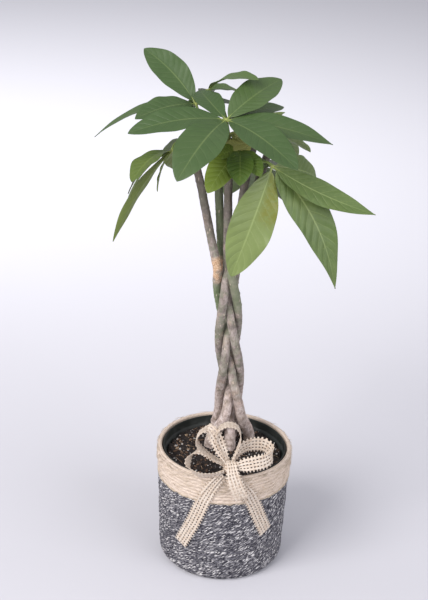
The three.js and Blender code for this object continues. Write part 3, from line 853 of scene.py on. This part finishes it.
def add_rope_rows(piece, rows, steps, strands, place_of):
    """Rows of twisted rope. place_of gives (radius, height, relief outward) at a row
    coordinate. Returns the starts of the first and the last ring."""
    row_place = (np.arange(rows * steps + 1) / steps)[:, None]
    turn = np.arange(ROPE_SEGMENTS + 1) / ROPE_SEGMENTS
    uvs = uv_grid(strands * turn, row_place)
    turn = turn[:-1]
    radius, height, outward = place_of(row_place)
    row = np.minimum(np.floor(row_place), rows - 1)
    phase = strands * turn + ROW_SHIFT * row - ROPE_SLANT * (row_place - row - 0.5)
    wobble = ROW_WOBBLE * np.sin(TURN * (ROW_WOBBLES_A_TURN * turn + ROW_WOBBLE_SHIFT * row))
    lift = crest_of(row_place) * (STRAND_RELIEF * np.cos(TURN * (phase - 0.5)) + wobble)
    points = around(radius + lift * outward, height, TURN * turn)
    start = piece.add_grid(points, uvs, wrap=True)
    return start, start + rows * steps * ROPE_SEGMENTS


def side_place(bottom, top, rows, proud):
    def place_of(row_place):
        height = bottom + (top - bottom) * row_place / rows
        radius = basket_radius(height) + proud - GROOVE_DEPTH * (1 - crest_of(row_place))
        return radius, height, 1
    return place_of


def base_place(row_place):
    """Rope rows coiled flat on the underside, from the middle out to the rounded edge."""
    outer = basket_radius(0) - GROOVE_DEPTH
    radius = np.maximum(outer * row_place / BASE_ROWS, 0.5)
    return radius, GROOVE_DEPTH * (1 - crest_of(row_place)), 0


def rim_place(row_place):
    """Over the top of the band, from its outer face to its inner one."""
    angle = math.pi * row_place / 2
    half_wall = (BASKET_WALL + BAND_STANDS_PROUD - GROOVE_DEPTH) / 2
    radius = basket_radius(BASKET_HEIGHT) - BASKET_WALL + half_wall * (1 + np.cos(angle))
    height = BASKET_HEIGHT - RIM_HEIGHT + RIM_HEIGHT * np.sin(angle) ** 0.8
    return radius, height, 0.2 * np.cos(angle)


def lining(heights):
    return [(basket_radius(z) - BASKET_WALL, z) for z in heights]


def basket_body(look):
    piece = Piece()
    middle, edge = add_rope_rows(piece, BASE_ROWS, BASE_ROW_STEPS, BODY_STRANDS, base_place)
    piece.add_face([middle + k for k in reversed(range(ROPE_SEGMENTS))])
    foot, top = add_rope_rows(piece, BODY_ROWS, BODY_ROW_STEPS, BODY_STRANDS,
                              side_place(0, BAND_BOTTOM, BODY_ROWS, 0))
    inside = lining((BAND_BOTTOM, 60, BASKET_EDGE_ROUND, BASKET_FLOOR))
    inner = add_lathe(piece, [*inside, (0.5, BASKET_FLOOR)], ROPE_SEGMENTS)
    piece.join_rings(edge, foot, ROPE_SEGMENTS)
    piece.join_rings(top, inner, ROPE_SEGMENTS)
    piece.add_face([inner + len(inside) * ROPE_SEGMENTS + k for k in range(ROPE_SEGMENTS)])
    return piece.build("basket_rope_body", [look], ["basket_body"])


def basket_band(look):
    piece = Piece()
    bottom = BAND_BOTTOM + BAND_GAP
    side = side_place(bottom, BASKET_HEIGHT - RIM_HEIGHT, BAND_ROWS, BAND_STANDS_PROUD)
    foot, top = add_rope_rows(piece, BAND_ROWS, BAND_ROW_STEPS, BAND_STRANDS, side)
    outer, inner = add_rope_rows(piece, RIM_ROWS, BAND_ROW_STEPS, BAND_STRANDS, rim_place)
    inside = add_lathe(piece, lining((BASKET_HEIGHT - 5, bottom)), ROPE_SEGMENTS)
    piece.join_rings(top, outer, ROPE_SEGMENTS)
    piece.join_rings(inner, inside, ROPE_SEGMENTS)
    piece.join_rings(inside + ROPE_SEGMENTS, foot, ROPE_SEGMENTS)
    return piece.build("basket_rope_band", [look], ["basket_band"])


def stray_fibres(name, looks):
    """Loose fibres that stand a little off the rope."""
    slot, count, (low, high), lengths, thickness, lift, rises, seed = FIBRES[name]
    dice = random.Random(seed)
    piece = Piece()
    up = np.array((0, 0, 1.0))
    for _ in range(count):
        angle = dice.uniform(0, TURN)
        z = low + (high - low) * dice.random() ** 0.6
        radius = basket_radius(z) + BAND_STANDS_PROUD - 0.4
        if z > BASKET_HEIGHT - 1.5:
            radius -= dice.uniform(0, BASKET_WALL)
        out = np.array((math.cos(angle), math.sin(angle), 0))
        along = np.cross(up, out) * dice.choice((-1, 1))
        length = dice.uniform(*lengths)
        start = radius * out + z * up
        rise = dice.uniform(*rises) * lift * up
        away = dice.uniform(0.3, 1.0) * lift * out
        end = start + length * along + away + rise - 0.12 * length * out * dice.random()
        bend = (start + end) / 2 + away * dice.uniform(0, 1.2) + rise * dice.uniform(-0.4, 0.8)
        places, directions = bezier(start, bend, end, FIBRE_SAMPLES)
        radii = np.linspace(thickness, 0.3 * thickness, FIBRE_SAMPLES)
        add_tube(piece, places, directions, radii, 3, (dice.random(), 0, 0))
    return piece.build(name, [looks[slot]])


# Grower pot and soil

def pot_floor(piece, ring, radius, z, up):
    """A flat disc in a ring of the wall, open at the drain holes. Returns the holes' starts."""
    loops = [around(radius, z, circle(POT_SEGMENTS))]
    for centre in around(DRAIN_CIRCLE_RADIUS, 0, circle(DRAIN_HOLES)):
        loops.append(centre + around(DRAIN_HOLE_RADIUS, z, circle(DRAIN_HOLE_SEGMENTS)))
    points = [Vector(p) for p in np.vstack(loops)]
    start = piece.add_points(points[POT_SEGMENTS:])
    for triangle in geometry.tessellate_polygon([[Vector(p) for p in loop] for loop in loops]):
        a, b, c = (points[k] for k in triangle)
        facing = (b - a).cross(c - a).z > 0
        order = triangle if facing == up else triangle[::-1]
        piece.add_face([ring + k if k < POT_SEGMENTS else start + k - POT_SEGMENTS for k in order])
    return [start + k * DRAIN_HOLE_SEGMENTS for k in range(DRAIN_HOLES)]


def grower_pot(look):
    piece = Piece()
    shoulder = POT_TOP - POT_COLLAR_HEIGHT
    collar = POT_COLLAR_RADIUS - POT_WALL
    profile = [
        (POT_BASE_RADIUS, POT_FLOOR_Z),
        (POT_SHOULDER_RADIUS - 0.5, shoulder - 0.8),
        (POT_COLLAR_RADIUS - 0.4, shoulder),
        (POT_COLLAR_RADIUS, shoulder + 0.6),
        (POT_COLLAR_RADIUS, POT_TOP - 0.7),
        (POT_COLLAR_RADIUS - 0.3, POT_TOP - 0.15),
        (POT_COLLAR_RADIUS - 0.7, POT_TOP),
        (collar + 0.3, POT_TOP - 0.15),
        (collar, POT_TOP - 0.7),
        (collar, shoulder + POT_WALL + 0.6),
        (collar - 0.5, shoulder + POT_WALL),
        (POT_SHOULDER_RADIUS - POT_WALL, shoulder),
        (POT_BASE_RADIUS - POT_WALL, POT_FLOOR_Z + POT_WALL),
    ]
    wall = add_lathe(piece, profile, POT_SEGMENTS)
    inside = wall + (len(profile) - 1) * POT_SEGMENTS
    below = pot_floor(piece, wall, *profile[0], False)
    above = pot_floor(piece, inside, *profile[-1], True)
    for first, second in zip(above, below):
        piece.join_rings(first, second, DRAIN_HOLE_SEGMENTS)
    return piece.build("grower_pot_shell", [look], ["grower_pot"])


def soil_height(x, y):
    """The model's own soil surface, with clods, crumbs and grit added."""
    bumps = math.sin(x * 0.31 + 1.3) * math.cos(y * 0.27) + 0.6 * math.sin(x * 0.13 - y * 0.21)
    from_trunk = math.hypot(x - SOIL_MOUND_CENTRE[0], y - SOIL_MOUND_CENTRE[1])
    mound = SOIL_MOUND * math.exp(-((from_trunk / SOIL_MOUND_SPREAD) ** 2))
    grains = sum(size * noise.noise(Vector((x * scale, y * scale, cut)))
                 for size, scale, cut in SOIL_GRAINS)
    return SOIL_TOP + mound + SOIL_RELIEF * bumps + grains


def soil(look):
    angles = circle(SOIL_SEGMENTS)
    rings = [around(POT_BASE_RADIUS - POT_WALL - SOIL_GAP, SOIL_BOTTOM, angles),
             around(SOIL_RADIUS, SOIL_TOP - 3, angles)]
    for k in range(SOIL_RINGS):
        ring = around(SOIL_RADIUS * (1 - k / SOIL_RINGS), 0.0, angles)
        ring[:, 2] = [soil_height(x, y) for x, y, _ in ring]
        rings.append(ring)
    piece = Piece()
    uvs = uv_grid(np.linspace(0, 1, SOIL_SEGMENTS + 1), np.linspace(0, 1, len(rings)))
    start = piece.add_grid(np.array(rings), uvs, wrap=True)
    piece.close_ends(start, len(rings), SOIL_SEGMENTS)
    return piece.build("soil_surface", [look], ["soil"])


def free_soil_place(dice):
    """A point on the soil that no stem stands on."""
    while True:
        angle = dice.uniform(0, TURN)
        radius = (SOIL_RADIUS - 1) * math.sqrt(dice.random())
        x, y = radius * math.cos(angle), radius * math.sin(angle)
        if all(math.hypot(x - fx, y - fy) > CLEAR_OF_STEM for fx, fy in STEM_FEET):
            return x, y


def random_turn(dice, tilt):
    turn = Matrix.Rotation(dice.uniform(0, TURN), 3, "Z")
    lean = Matrix.Rotation(dice.uniform(-tilt, tilt), 3, "X")
    return (turn @ lean).to_quaternion()


def perlite(look):
    dice = random.Random(21)
    lumps = [pebble(seed) for seed in range(8)]
    piece = Piece()
    for _ in range(PERLITE_COUNT):
        x, y = free_soil_place(dice)
        size = 0.45 + 1.5 * dice.random() ** 2.6
        sizes = (size * dice.uniform(0.8, 1.3), size, size * dice.uniform(0.6, 0.9))
        place = (x, y, soil_height(x, y) + 0.25 * size)
        lump = dice.choice(lumps)
        add_lump(piece, lump, place, sizes, random_turn(dice, 1.2), dice.random() ** 2)
    return piece.build("perlite_grains", [look])


def bark_bits(look):
    dice = random.Random(22)
    lumps = [pebble(seed) for seed in range(20, 28)]
    piece = Piece()
    for _ in range(BARK_BIT_COUNT):
        x, y = free_soil_place(dice)
        length = 1.2 + 3.4 * dice.random() ** 1.6
        sizes = (length, length * dice.uniform(0.25, 0.6), length * dice.uniform(0.15, 0.35))
        place = (x, y, soil_height(x, y) + 0.35 * sizes[2])
        tone = 0.75 * dice.random() + (0.25 if x < 0 and y > 0 else 0)
        add_lump(piece, dice.choice(lumps), place, sizes, random_turn(dice, 0.5), tone)
    for _ in range(TWIG_COUNT):
        x, y = free_soil_place(dice)
        heading = dice.uniform(0, TURN)
        length = dice.uniform(5, 14)
        reach = np.array((math.cos(heading), math.sin(heading), 0)) * length
        if math.hypot(x + reach[0], y + reach[1]) > SOIL_RADIUS - 1:
            continue
        start = np.array((x, y, soil_height(x, y) + 0.5))
        end = start + reach
        end[2] = soil_height(end[0], end[1]) + 0.6
        aside = (dice.uniform(-3, 3), dice.uniform(-3, 3), dice.uniform(0, 1.5))
        places, directions = bezier(start, (start + end) / 2 + np.array(aside), end, 7)
        tone = (dice.uniform(0.5, 1), 0, 0)
        add_tube(piece, places, directions, np.full(7, dice.uniform(0.22, 0.45)), 5, tone)
    return piece.build("bark_bits", [look])


# Stems

def braid_point(index, z):
    phase = TURN * ((z - BRAID_PHASE_Z) / BRAID_PERIOD + index / STEM_COUNT)
    across = math.sin(phase) - 0.1 * math.sin(3 * phase)
    deep = math.sin(2 * phase) + 0.08 * math.sin(4 * phase)
    looser = 1 + BRAID_LOOSER_BELOW * math.exp((BRAID_START - z) / BRAID_EASE)
    rise = z - BRAID_AXIS_POINT[2]
    x = BRAID_AXIS_POINT[0] + BRAID_LEAN[0] * rise + BRAID_HALF_WIDTH * looser * across
    y = BRAID_AXIS_POINT[1] + BRAID_LEAN[1] * rise + BRAID_HALF_DEPTH * looser * deep
    return np.array((x, y, z))


def stem_point(index, z):
    if z >= BRAID_START:
        return braid_point(index, z)
    foot = np.array((*STEM_FEET[index], z))
    if z <= STEM_FOOT_Z:
        return foot
    below = min(BRAID_START - z, BRAID_EASE)
    woven = braid_point(index, BRAID_START - below + below ** 2 / (2 * BRAID_EASE))
    woven[2] = z
    share = smooth((z - STEM_FOOT_Z) / (BRAID_START - BRAID_EASE / 2 - STEM_FOOT_Z))
    return foot + (woven - foot) * share


def stem_route(index):
    heights = (*STEM_HEIGHTS_BELOW_BRAID, *range(BRAID_START, BRAID_END + 1, BRAID_STEP))
    points = [stem_point(index, z) for z in heights]
    middle, top = (np.array(p, float) for p in STEM_TOPS[index])
    leave = points[-1]
    points += [leave + (middle - leave) * 0.36, leave + (middle - leave) * 0.68, middle, top]
    places, _ = spline(points, 1200)
    reached = reach_along(places)
    at = np.linspace(0, reached[-1], int(round(reached[-1] / 0.4)) + 1)
    return points_at(places, reached, at)


def stem_radius(z, top):
    swelling = STEM_EXTRA_AT_START * np.exp((BRAID_START - z) / (1.15 * BRAID_EASE))
    thinner = (STEM_RADIUS - STEM_TIP_RADIUS) * smooth((z - BRAID_END) / (top - BRAID_END))
    return STEM_RADIUS + np.minimum(swelling, STEM_FOOT_EXTRA) - thinner


def stretch_share(z, low, high, blend):
    return smooth((z - low) / blend + 0.5) * smooth((high - z) / blend + 0.5)


def stem(index, look):
    route = stem_route(index)
    places = route[np.linspace(0, len(route) - 1, STEM_SAMPLES).astype(int)]
    directions = unit(np.gradient(places, axis=0))
    z = places[:, 2]
    angles = circle(STEM_SIDES)
    radii = np.repeat(stem_radius(z, STEM_TOPS[index][1][2])[:, None], STEM_SIDES, 1)
    dice = random.Random(40 + index)
    at, highest, least_gap, most_gap = LEAF_SCARS
    while at < highest:
        facing = dice.uniform(0, TURN)
        ring = np.exp(-(((z - at) / 1.3) ** 2))[:, None]
        radii += ring * (0.22 + 0.55 * np.maximum(np.cos(angles - facing), 0) ** 4)
        at += dice.uniform(least_gap, most_gap)
    cork_share = stretch_share(z, *CORK_STRETCHES.get(index, (0, 0)), CORK_BLEND)
    green_low, green_high, green_most = GREEN_STRETCHES[index]
    green_share = green_most * stretch_share(z, green_low, green_high, GREEN_BLEND)
    first, second = side_frames(directions)
    tones = np.empty((STEM_SAMPLES, STEM_SIDES, 3))
    for i, j in np.ndindex(STEM_SAMPLES, STEM_SIDES):
        way = first[i] * math.cos(angles[j]) + second[i] * math.sin(angles[j])
        spot = Vector(places[i] + way * 4.5)
        ridges = noise.noise(Vector((spot.x * 0.55, spot.y * 0.55, spot.z * 0.16)))
        patch = noise.noise(spot * 0.055 + Vector((index * 7.0, 0, 0)))
        corky = cork_share[i] * min(max(1.6 * noise.noise(spot * 0.16) + 0.75, 0), 1)
        radii[i, j] += 0.34 * ridges + 0.14 * noise.noise(spot * 0.9)
        radii[i, j] += 0.45 * corky * (0.5 + noise.noise(spot * 0.8))
        tones[i, j] = (green_share[i], corky, min(max(1.8 * patch - 0.15, 0), 0.7))
    piece = Piece()
    add_tube(piece, places, directions, radii, STEM_SIDES, tones)
    return piece.build(f"stem_{index + 1}_bark", [look], [f"stem_{index + 1}"])


def shoot_tips(look):
    """The pointed young shoots at the top of each stem."""
    piece = Piece()
    dice = random.Random(50)
    radii = 2.1 * (1 - np.linspace(0, 1, 9)) ** 0.7 + 0.15
    for index in range(STEM_COUNT):
        route = stem_route(index)
        top = route[-1]
        way = unit(top - route[-20])
        for _ in range(SHOOTS_A_STEM):
            length = dice.uniform(7, 13)
            side = np.array((dice.uniform(-1, 1), dice.uniform(-1, 1), 0.2))
            bend = top + way * length * 0.6 + side * 2.2
            places, directions = bezier(top - way * 2, bend, top + way * length + side * 2.5, 9)
            add_tube(piece, places, directions, radii, 10, (0.6, 0, 0))
    return piece.build("shoot_tips", [look])


# Leaves

def blade_half_width(t, width, widest, taper):
    along = np.maximum(t - 0.05, 0) / 0.95
    turn = along ** (math.log(0.5) / math.log(widest))
    swell = np.maximum(np.sin(math.pi * turn), 0)
    body = np.where(turn < 0.5, swell ** BLADE_FULLNESS, swell ** taper)
    least = STALK_HALF_WIDTH + (TIP_HALF_WIDTH - STALK_HALF_WIDTH) * t
    return np.maximum((width / 2) * body, least)


def add_leaflet(piece, hub, face, shape, dice, quilt_depth, shade=None, patch=None):
    """A blade as a thin closed shell: quilted between its side veins, with wavy margins.
    shade is how light it is, and patch the ends of an olive patch of painted shade on one side of
    it."""
    reach, width, arch = np.array(shape[:3], float), shape[3], shape[4]
    roll, sway, widest, taper = (*shape[5:], *LEAFLET_USUAL_END[len(shape) - 5:])
    along = unit(reach)
    up = unit(face - along * np.dot(face, along))
    up = np.array(Matrix.Rotation(math.radians(roll), 3, Vector(along)) @ Vector(up))
    bend = hub + 0.45 * reach + 2 * arch * up + 2 * sway * np.cross(along, up)
    places, directions = bezier(hub, bend, hub + reach, BLADE_STATIONS)
    side = unit(np.cross(directions, up))
    normal = unit(np.cross(side, directions))
    t = np.linspace(0, 1, BLADE_STATIONS)[:, None]
    half = blade_half_width(t, width, widest, taper)
    across = np.sin(np.linspace(-math.pi / 2, math.pi / 2, BLADE_COLUMNS + 1))
    share = np.abs(across)
    depth = quilt_depth * width * np.clip(half / (width / 2), 0, 1)
    waves = dice.uniform(2.2, 3.6)
    phase = TURN * waves * t + dice.uniform(0, TURN) + (across > 0) * dice.uniform(1, 4)
    margin = WAVE_TO_QUILT * depth * share ** 3 * np.sin(phase)
    quilting = np.cos(TURN * SIDE_VEINS * (t - VEIN_SLANT * share))
    quilt = depth * quilting * np.sin(math.pi * np.clip(share, 0.04, 1)) ** 0.7
    height = share * half * BLADE_FOLD + margin + quilt
    middle = places[:, None] + side[:, None] * (across * half)[..., None]
    rib = 0.55 * np.exp(-((across / 0.07) ** 2)) * (1 - 0.75 * t)
    thin = 0.5 * BLADE_THICKNESS * (1 - 0.75 * share ** 6)
    top = middle + normal[:, None] * (height + thin - 0.3 * rib)[..., None]
    under = middle + normal[:, None] * (height - thin - 1.3 * rib)[..., None]
    uvs = uv_grid((across + 1) / 2, t)
    tones = np.zeros(top.shape)
    tones[..., 1] = dice.random() if shade is None else shade
    # The third tone carries painted shade: an olive patch on one side of the leaflet.
    if patch:
        tones[..., 2] = stretch_share(t, *patch, 0.16) * smooth(-4 * across - 0.2)
    first = piece.add_grid(top, uvs, tones)
    under_tones = tones[:, ::-1] + np.array((1, 0, 0))
    second = piece.add_grid(under[:, ::-1], uvs[:, ::-1], under_tones)
    close_margin(piece, first, second)
    steps = int(RIB_BASE_SHARE * BLADE_STATIONS)
    add_tube(piece, places[:steps] - 0.6 * normal[:steps], directions[:steps],
             np.linspace(*RIB_BASE_RADII, steps), RIB_BASE_SIDES, (0.6, 0, 0), look=1)


def close_margin(piece, first, second):
    """Faces round the edge of a blade, between its upper and lower grid."""
    end, last = BLADE_STATIONS - 1, BLADE_COLUMNS
    edge = [(0, j) for j in range(last)] + [(i, last) for i in range(end)]
    edge += [(end, j) for j in range(last, 0, -1)] + [(i, 0) for i in range(end, 0, -1)]
    upper = [first + i * (last + 1) + j for i, j in edge]
    lower = [second + (i + 1) * (last + 1) - 1 - j for i, j in edge]
    for k in range(len(edge)):
        piece.add_face([upper[k - 1], lower[k - 1], lower[k], upper[k]])


def leaf(name, blades, stalk_material):
    stem_index, left_at, hub, bend, face, kind, leaflets = LEAVES[name]
    dice = random.Random(name)
    piece = Piece()
    centre = np.array(hub, float)
    facing = unit(np.array(face, float))
    shades = LEAFLET_SHADES.get(name, [None] * len(leaflets))
    for number, shape in enumerate(leaflets):
        # One leaflet gets the olive patch of painted shade.
        patch = PAINTED_SHADE_PATCH[2:] if (name, number) == PAINTED_SHADE_PATCH[:2] else None
        add_leaflet(piece, centre, facing, shape, dice, BLADES[kind][-1], shades[number], patch)
    route = stem_route(stem_index)
    start = route[np.argmin(np.abs(route[:, 2] - left_at))]
    places, directions = bezier(start, bend, hub, PETIOLE_SAMPLES)
    t = np.linspace(0, 1, PETIOLE_SAMPLES)
    swollen = 0.9 * np.exp(-((t / 0.08) ** 2)) + 0.4 * np.exp(-(((1 - t) / 0.07) ** 2))
    add_tube(piece, places, directions, PETIOLE_RADIUS + swollen, 12, (0.2, 0, 0), look=1)
    knob_places = centre + np.outer(np.linspace(-1, 1, HUB_RINGS), facing) * HUB_RADIUS * 0.75
    knob_radii = HUB_RADIUS * np.sqrt(1 - np.linspace(-0.98, 0.98, HUB_RINGS) ** 2)
    facings = np.tile(facing, (HUB_RINGS, 1))
    add_tube(piece, knob_places, facings, knob_radii, 14, (0.9, 0, 0), look=1)
    return piece.build(f"{name}_blades", [blades[kind], stalk_material], [name])


def young_leaves(look, stalk_material):
    """Small new leaves that open at the stem tops."""
    dice = random.Random(51)
    piece = Piece()
    for hub, face, leaflets in YOUNG_LEAVES:
        for shape in leaflets:
            add_leaflet(piece, np.array(hub, float), unit(np.array(face, float)), shape, dice,
                        BLADES["young"][-1])
    return piece.build("young_leaves", [look, stalk_material])


# Ribbon bow

def ribbon_columns():
    """Edges of the strip's columns from -1 to 1 across it, whether each is a cord band, and how
    thick the cord is at each edge."""
    band = (RIBBON_WIDTH - 2 * RIBBON_TOOTH - (RIBBON_BANDS - 1) * RIBBON_GAP) / RIBBON_BANDS
    tooth = (RIBBON_TOOTH, False, 0.35)
    cord = [(band / 3, True, 1.0), (band / 3, True, 1.0), (band / 3, True, 0.35)]
    gap = (RIBBON_GAP, False, 0.35)
    columns = [tooth] + (cord + [gap]) * (RIBBON_BANDS - 1) + cord + [(RIBBON_TOOTH, False, 0)]
    widths, solid, crowns = zip(*columns)
    edges = np.concatenate([[0], np.cumsum(widths)]) - RIBBON_WIDTH / 2
    return edges / (RIBBON_WIDTH / 2), solid, np.array((0, *crowns))


def add_weave(piece, first, second, rows, edges, solid_columns):
    """A strip's faces between its upper and its lower points, with holes between the cords."""
    columns = len(edges)

    def filled(i, j):
        if not (0 <= i < rows and 0 <= j < columns - 1):
            return False
        return solid_columns[j] or i % CELLS_A_PITCH < CELLS_A_PITCH / 2

    for i, j in np.ndindex(rows, columns - 1):
        if not filled(i, j):
            continue
        corners = [(i, j), (i, j + 1), (i + 1, j + 1), (i + 1, j)]
        uv = [(a / CELLS_A_PITCH, (edges[b] + 1) / 2) for a, b in corners]
        ids = [a * columns + b for a, b in corners]
        piece.add_face([first + k for k in reversed(ids)], uv[::-1])
        piece.add_face([second + k for k in ids], uv)
        beside = [(i - 1, j), (i, j + 1), (i + 1, j), (i, j - 1)]
        for k, neighbour in enumerate(beside):
            if not filled(*neighbour):
                m = (k + 1) % 4
                wall = [first + ids[k], first + ids[m], second + ids[m], second + ids[k]]
                piece.add_face(wall, [uv[k], uv[m], uv[m], uv[k]])


def ribbon_strip(name, path, ways, look, gathers=(), rests_on=(), held="folded", with_pieces=()):
    """A strip of open-weave ribbon along a path, its width laid the way given at each point.
    Cord bands run along it, and cross threads join them and stand past both edges.
    gathers gives, at each end, the share of the length that is pleated and its width there."""
    cell = RIBBON_PITCH / CELLS_A_PITCH
    places, _ = spline(path, RIBBON_SAMPLES)
    way_places, _ = spline(ways, RIBBON_SAMPLES)
    reached = reach_along(places)
    rows = int(reached[-1] / cell)
    at = np.arange(rows + 1) * cell
    centre = points_at(places, reached, at)
    way = points_at(way_places, reached, at)
    direction = unit(np.gradient(centre, axis=0))
    half = RIBBON_WIDTH / 2 * np.minimum(np.linalg.norm(way, axis=1), 1)
    along = at / at[-1]
    pinch = np.zeros(rows + 1)
    narrow = np.ones(rows + 1)
    for from_end, (gather_share, gathered_width) in zip((along, 1 - along), gathers):
        gathered = 1 - smooth(from_end / gather_share)
        narrow -= (1 - gathered_width) * gathered
        pinch = np.maximum(pinch, gathered)
    way = unit(way - direction * np.sum(way * direction, axis=1, keepdims=True))
    normal = np.cross(direction, way)[:, None]
    edges, solid_columns, crowns = ribbon_columns()
    place_in_pitch = (np.arange(rows + 1) % CELLS_A_PITCH)[:, None]
    beat = np.cos(TURN * (place_in_pitch - 1) / CELLS_A_PITCH)
    pleat = PLEAT_DEPTH * pinch[:, None] * np.sin(2.5 * math.pi * edges)
    thick = 0.22 + 0.14 * crowns + 0.12 * crowns * beat
    thick = np.maximum(thick, 0.16 + 0.06 * beat)[..., None]
    outermost = np.abs(edges) > 0.999
    slip = TOOTH_END_SLANT * cell * outermost * ((place_in_pitch == 0) * 1 - (place_in_pitch == 2))
    middle = (centre[:, None] + way[:, None] * ((half * narrow)[:, None] * edges)[..., None]
              + normal * pleat[..., None] + direction[:, None] * slip[..., None])
    # Painted shade: the tone is 1 on the cord crowns, falls towards the cord edges and gaps, and
    # dips between cross threads; the teeth stay pale.
    crest = np.clip(0.25 + 0.75 * crowns + 0.15 * beat, 0, 1)
    tones = first_tone(np.where(outermost, 0.9, crest))
    piece = Piece()
    first = piece.add_points(middle + normal * thick, tones)
    second = piece.add_points(middle - normal * thick, tones)
    add_weave(piece, first, second, rows, edges, solid_columns)
    obj = piece.build(name, [look], ["ribbon_bow"])
    return obj


def knot(look):
    """The gathered middle of the bow: a pleated lump of ribbon under the tie, with painted shade
    in its pleat troughs.
    """
    heading = np.linspace(KNOT_END, math.pi - KNOT_END, KNOT_RINGS)[:, None]
    turn = -circle(KNOT_SIDES)
    pleats = np.sin(KNOT_PLEATS * turn + 1.6 * np.sin(2 * heading))
    swell = np.sin(heading) * (1 + 0.09 * pleats * np.sin(heading))
    ball = np.stack([np.cos(heading) + 0 * turn, swell * np.cos(turn), swell * np.sin(turn)], -1)
    uvs = uv_grid(np.linspace(0, KNOT_PLEATS, KNOT_SIDES + 1), np.linspace(0, 1, KNOT_RINGS))
    piece = Piece()
    points = np.array(KNOT_CENTRE) + ball * np.array(KNOT_RADII)
    # Painted shade: the tone is low in the pleat troughs, where the ribbon's look turns them
    # brown.
    start = piece.add_grid(points, uvs, first_tone(0.5 + 0.5 * pleats), wrap=True)
    piece.close_ends(start, KNOT_RINGS, KNOT_SIDES)
    return piece.build("bow_knot", [look])


def tail_path(turns_and_heights):
    path = []
    outward = []
    for degrees, z in turns_and_heights:
        angle = math.radians(degrees)
        radius = basket_radius(z) + BAND_STANDS_PROUD + RIBBON_CLEARANCE
        path.append((radius * math.sin(angle), -radius * math.cos(angle), z))
        outward.append((math.sin(angle), -math.cos(angle), 0))
    _, directions = spline(path, len(path))
    return path, [unit(np.cross(way, out)) for way, out in zip(directions, outward)]


def ribbon_bow(look):
    for name, (path, ways) in BOW_LOOPS.items():
        ribbon_strip(name, path, ways, look, [LOOP_GATHER, LOOP_GATHER])
    ribbon_strip("bow_tie", *BOW_TIE, look, with_pieces=[knot(look)])
    for name, route in BOW_TAILS.items():
        path, ways = tail_path(route)
        ribbon_strip(name, path, ways, look, [TAIL_GATHER], held="laid",
                     rests_on=["basket_rope_band", "basket_rope_body"])


# Surroundings

def camera():
    data = bpy.data.cameras.new("camera")
    data.lens = CAMERA_LENS
    obj = link("camera", data)
    turn = (Matrix.Rotation(math.radians(CAMERA_PITCH), 4, "X")
            @ Matrix.Rotation(math.radians(CAMERA_ROLL), 4, "Z"))
    obj.matrix_world = Matrix.Translation(CAMERA_PLACE) @ turn
    bpy.context.scene.camera = obj


def area_light(name, place, aim, size, watts, colour):
    data = bpy.data.lights.new(name, "AREA")
    data.size = size
    data.energy = watts
    data.color = colour
    obj = link(name, data)
    obj.location = place
    obj.rotation_euler = (Vector(aim) - Vector(place)).to_track_quat("-Z", "Y").to_euler()


def studio():
    mesh = bpy.data.meshes.new("floor")
    corners = [(-1, -1, 0), (1, -1, 0), (1, 1, 0), (-1, 1, 0)]
    mesh.from_pydata([Vector(corner) * FLOOR_REACH for corner in corners], [], [(0, 1, 2, 3)])
    mesh.materials.append(Look("floor", 0.85, 0.2, FLOOR_COLOUR).finish())
    link("floor", mesh)
    for name, values in LIGHTS.items():
        area_light(name, *values)
    world = bpy.data.worlds.new("studio")
    world.use_nodes = True
    background = world.node_tree.nodes["Background"]
    background.inputs["Color"].default_value = WORLD_COLOUR
    background.inputs["Strength"].default_value = WORLD_STRENGTH
    bpy.context.scene.world = world
    bpy.context.scene.view_settings.view_transform = "Standard"


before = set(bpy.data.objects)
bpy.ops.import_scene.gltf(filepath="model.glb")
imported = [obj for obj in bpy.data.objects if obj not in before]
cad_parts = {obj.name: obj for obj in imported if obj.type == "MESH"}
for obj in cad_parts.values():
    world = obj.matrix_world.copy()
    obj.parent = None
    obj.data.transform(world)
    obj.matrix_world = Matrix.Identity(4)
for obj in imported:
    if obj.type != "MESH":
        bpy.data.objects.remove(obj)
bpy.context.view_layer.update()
camera()
studio()

basket_body(grey_rope_look())
basket_band(cream_rope_look())
fibre_looks = {slot: fibre_look(slot) for slot in FIBRE_COLOURS}
for fibres_name in FIBRES:
    stray_fibres(fibres_name, fibre_looks)
grower_pot(plastic_look())
soil(soil_look())
perlite(perlite_look())
bark_bits(bark_bit_look())
bark_material = stem_look()
for number in range(STEM_COUNT):
    stem(number, bark_material)
stalks = stalk_look()
shoot_tips(stalks)
blade_looks = {kind: blade_look(kind) for kind in BLADES}
for leaf_name in LEAVES:
    leaf(leaf_name, blade_looks, stalks)
young_leaves(blade_looks["young"], stalks)
ribbon_bow(ribbon_look())
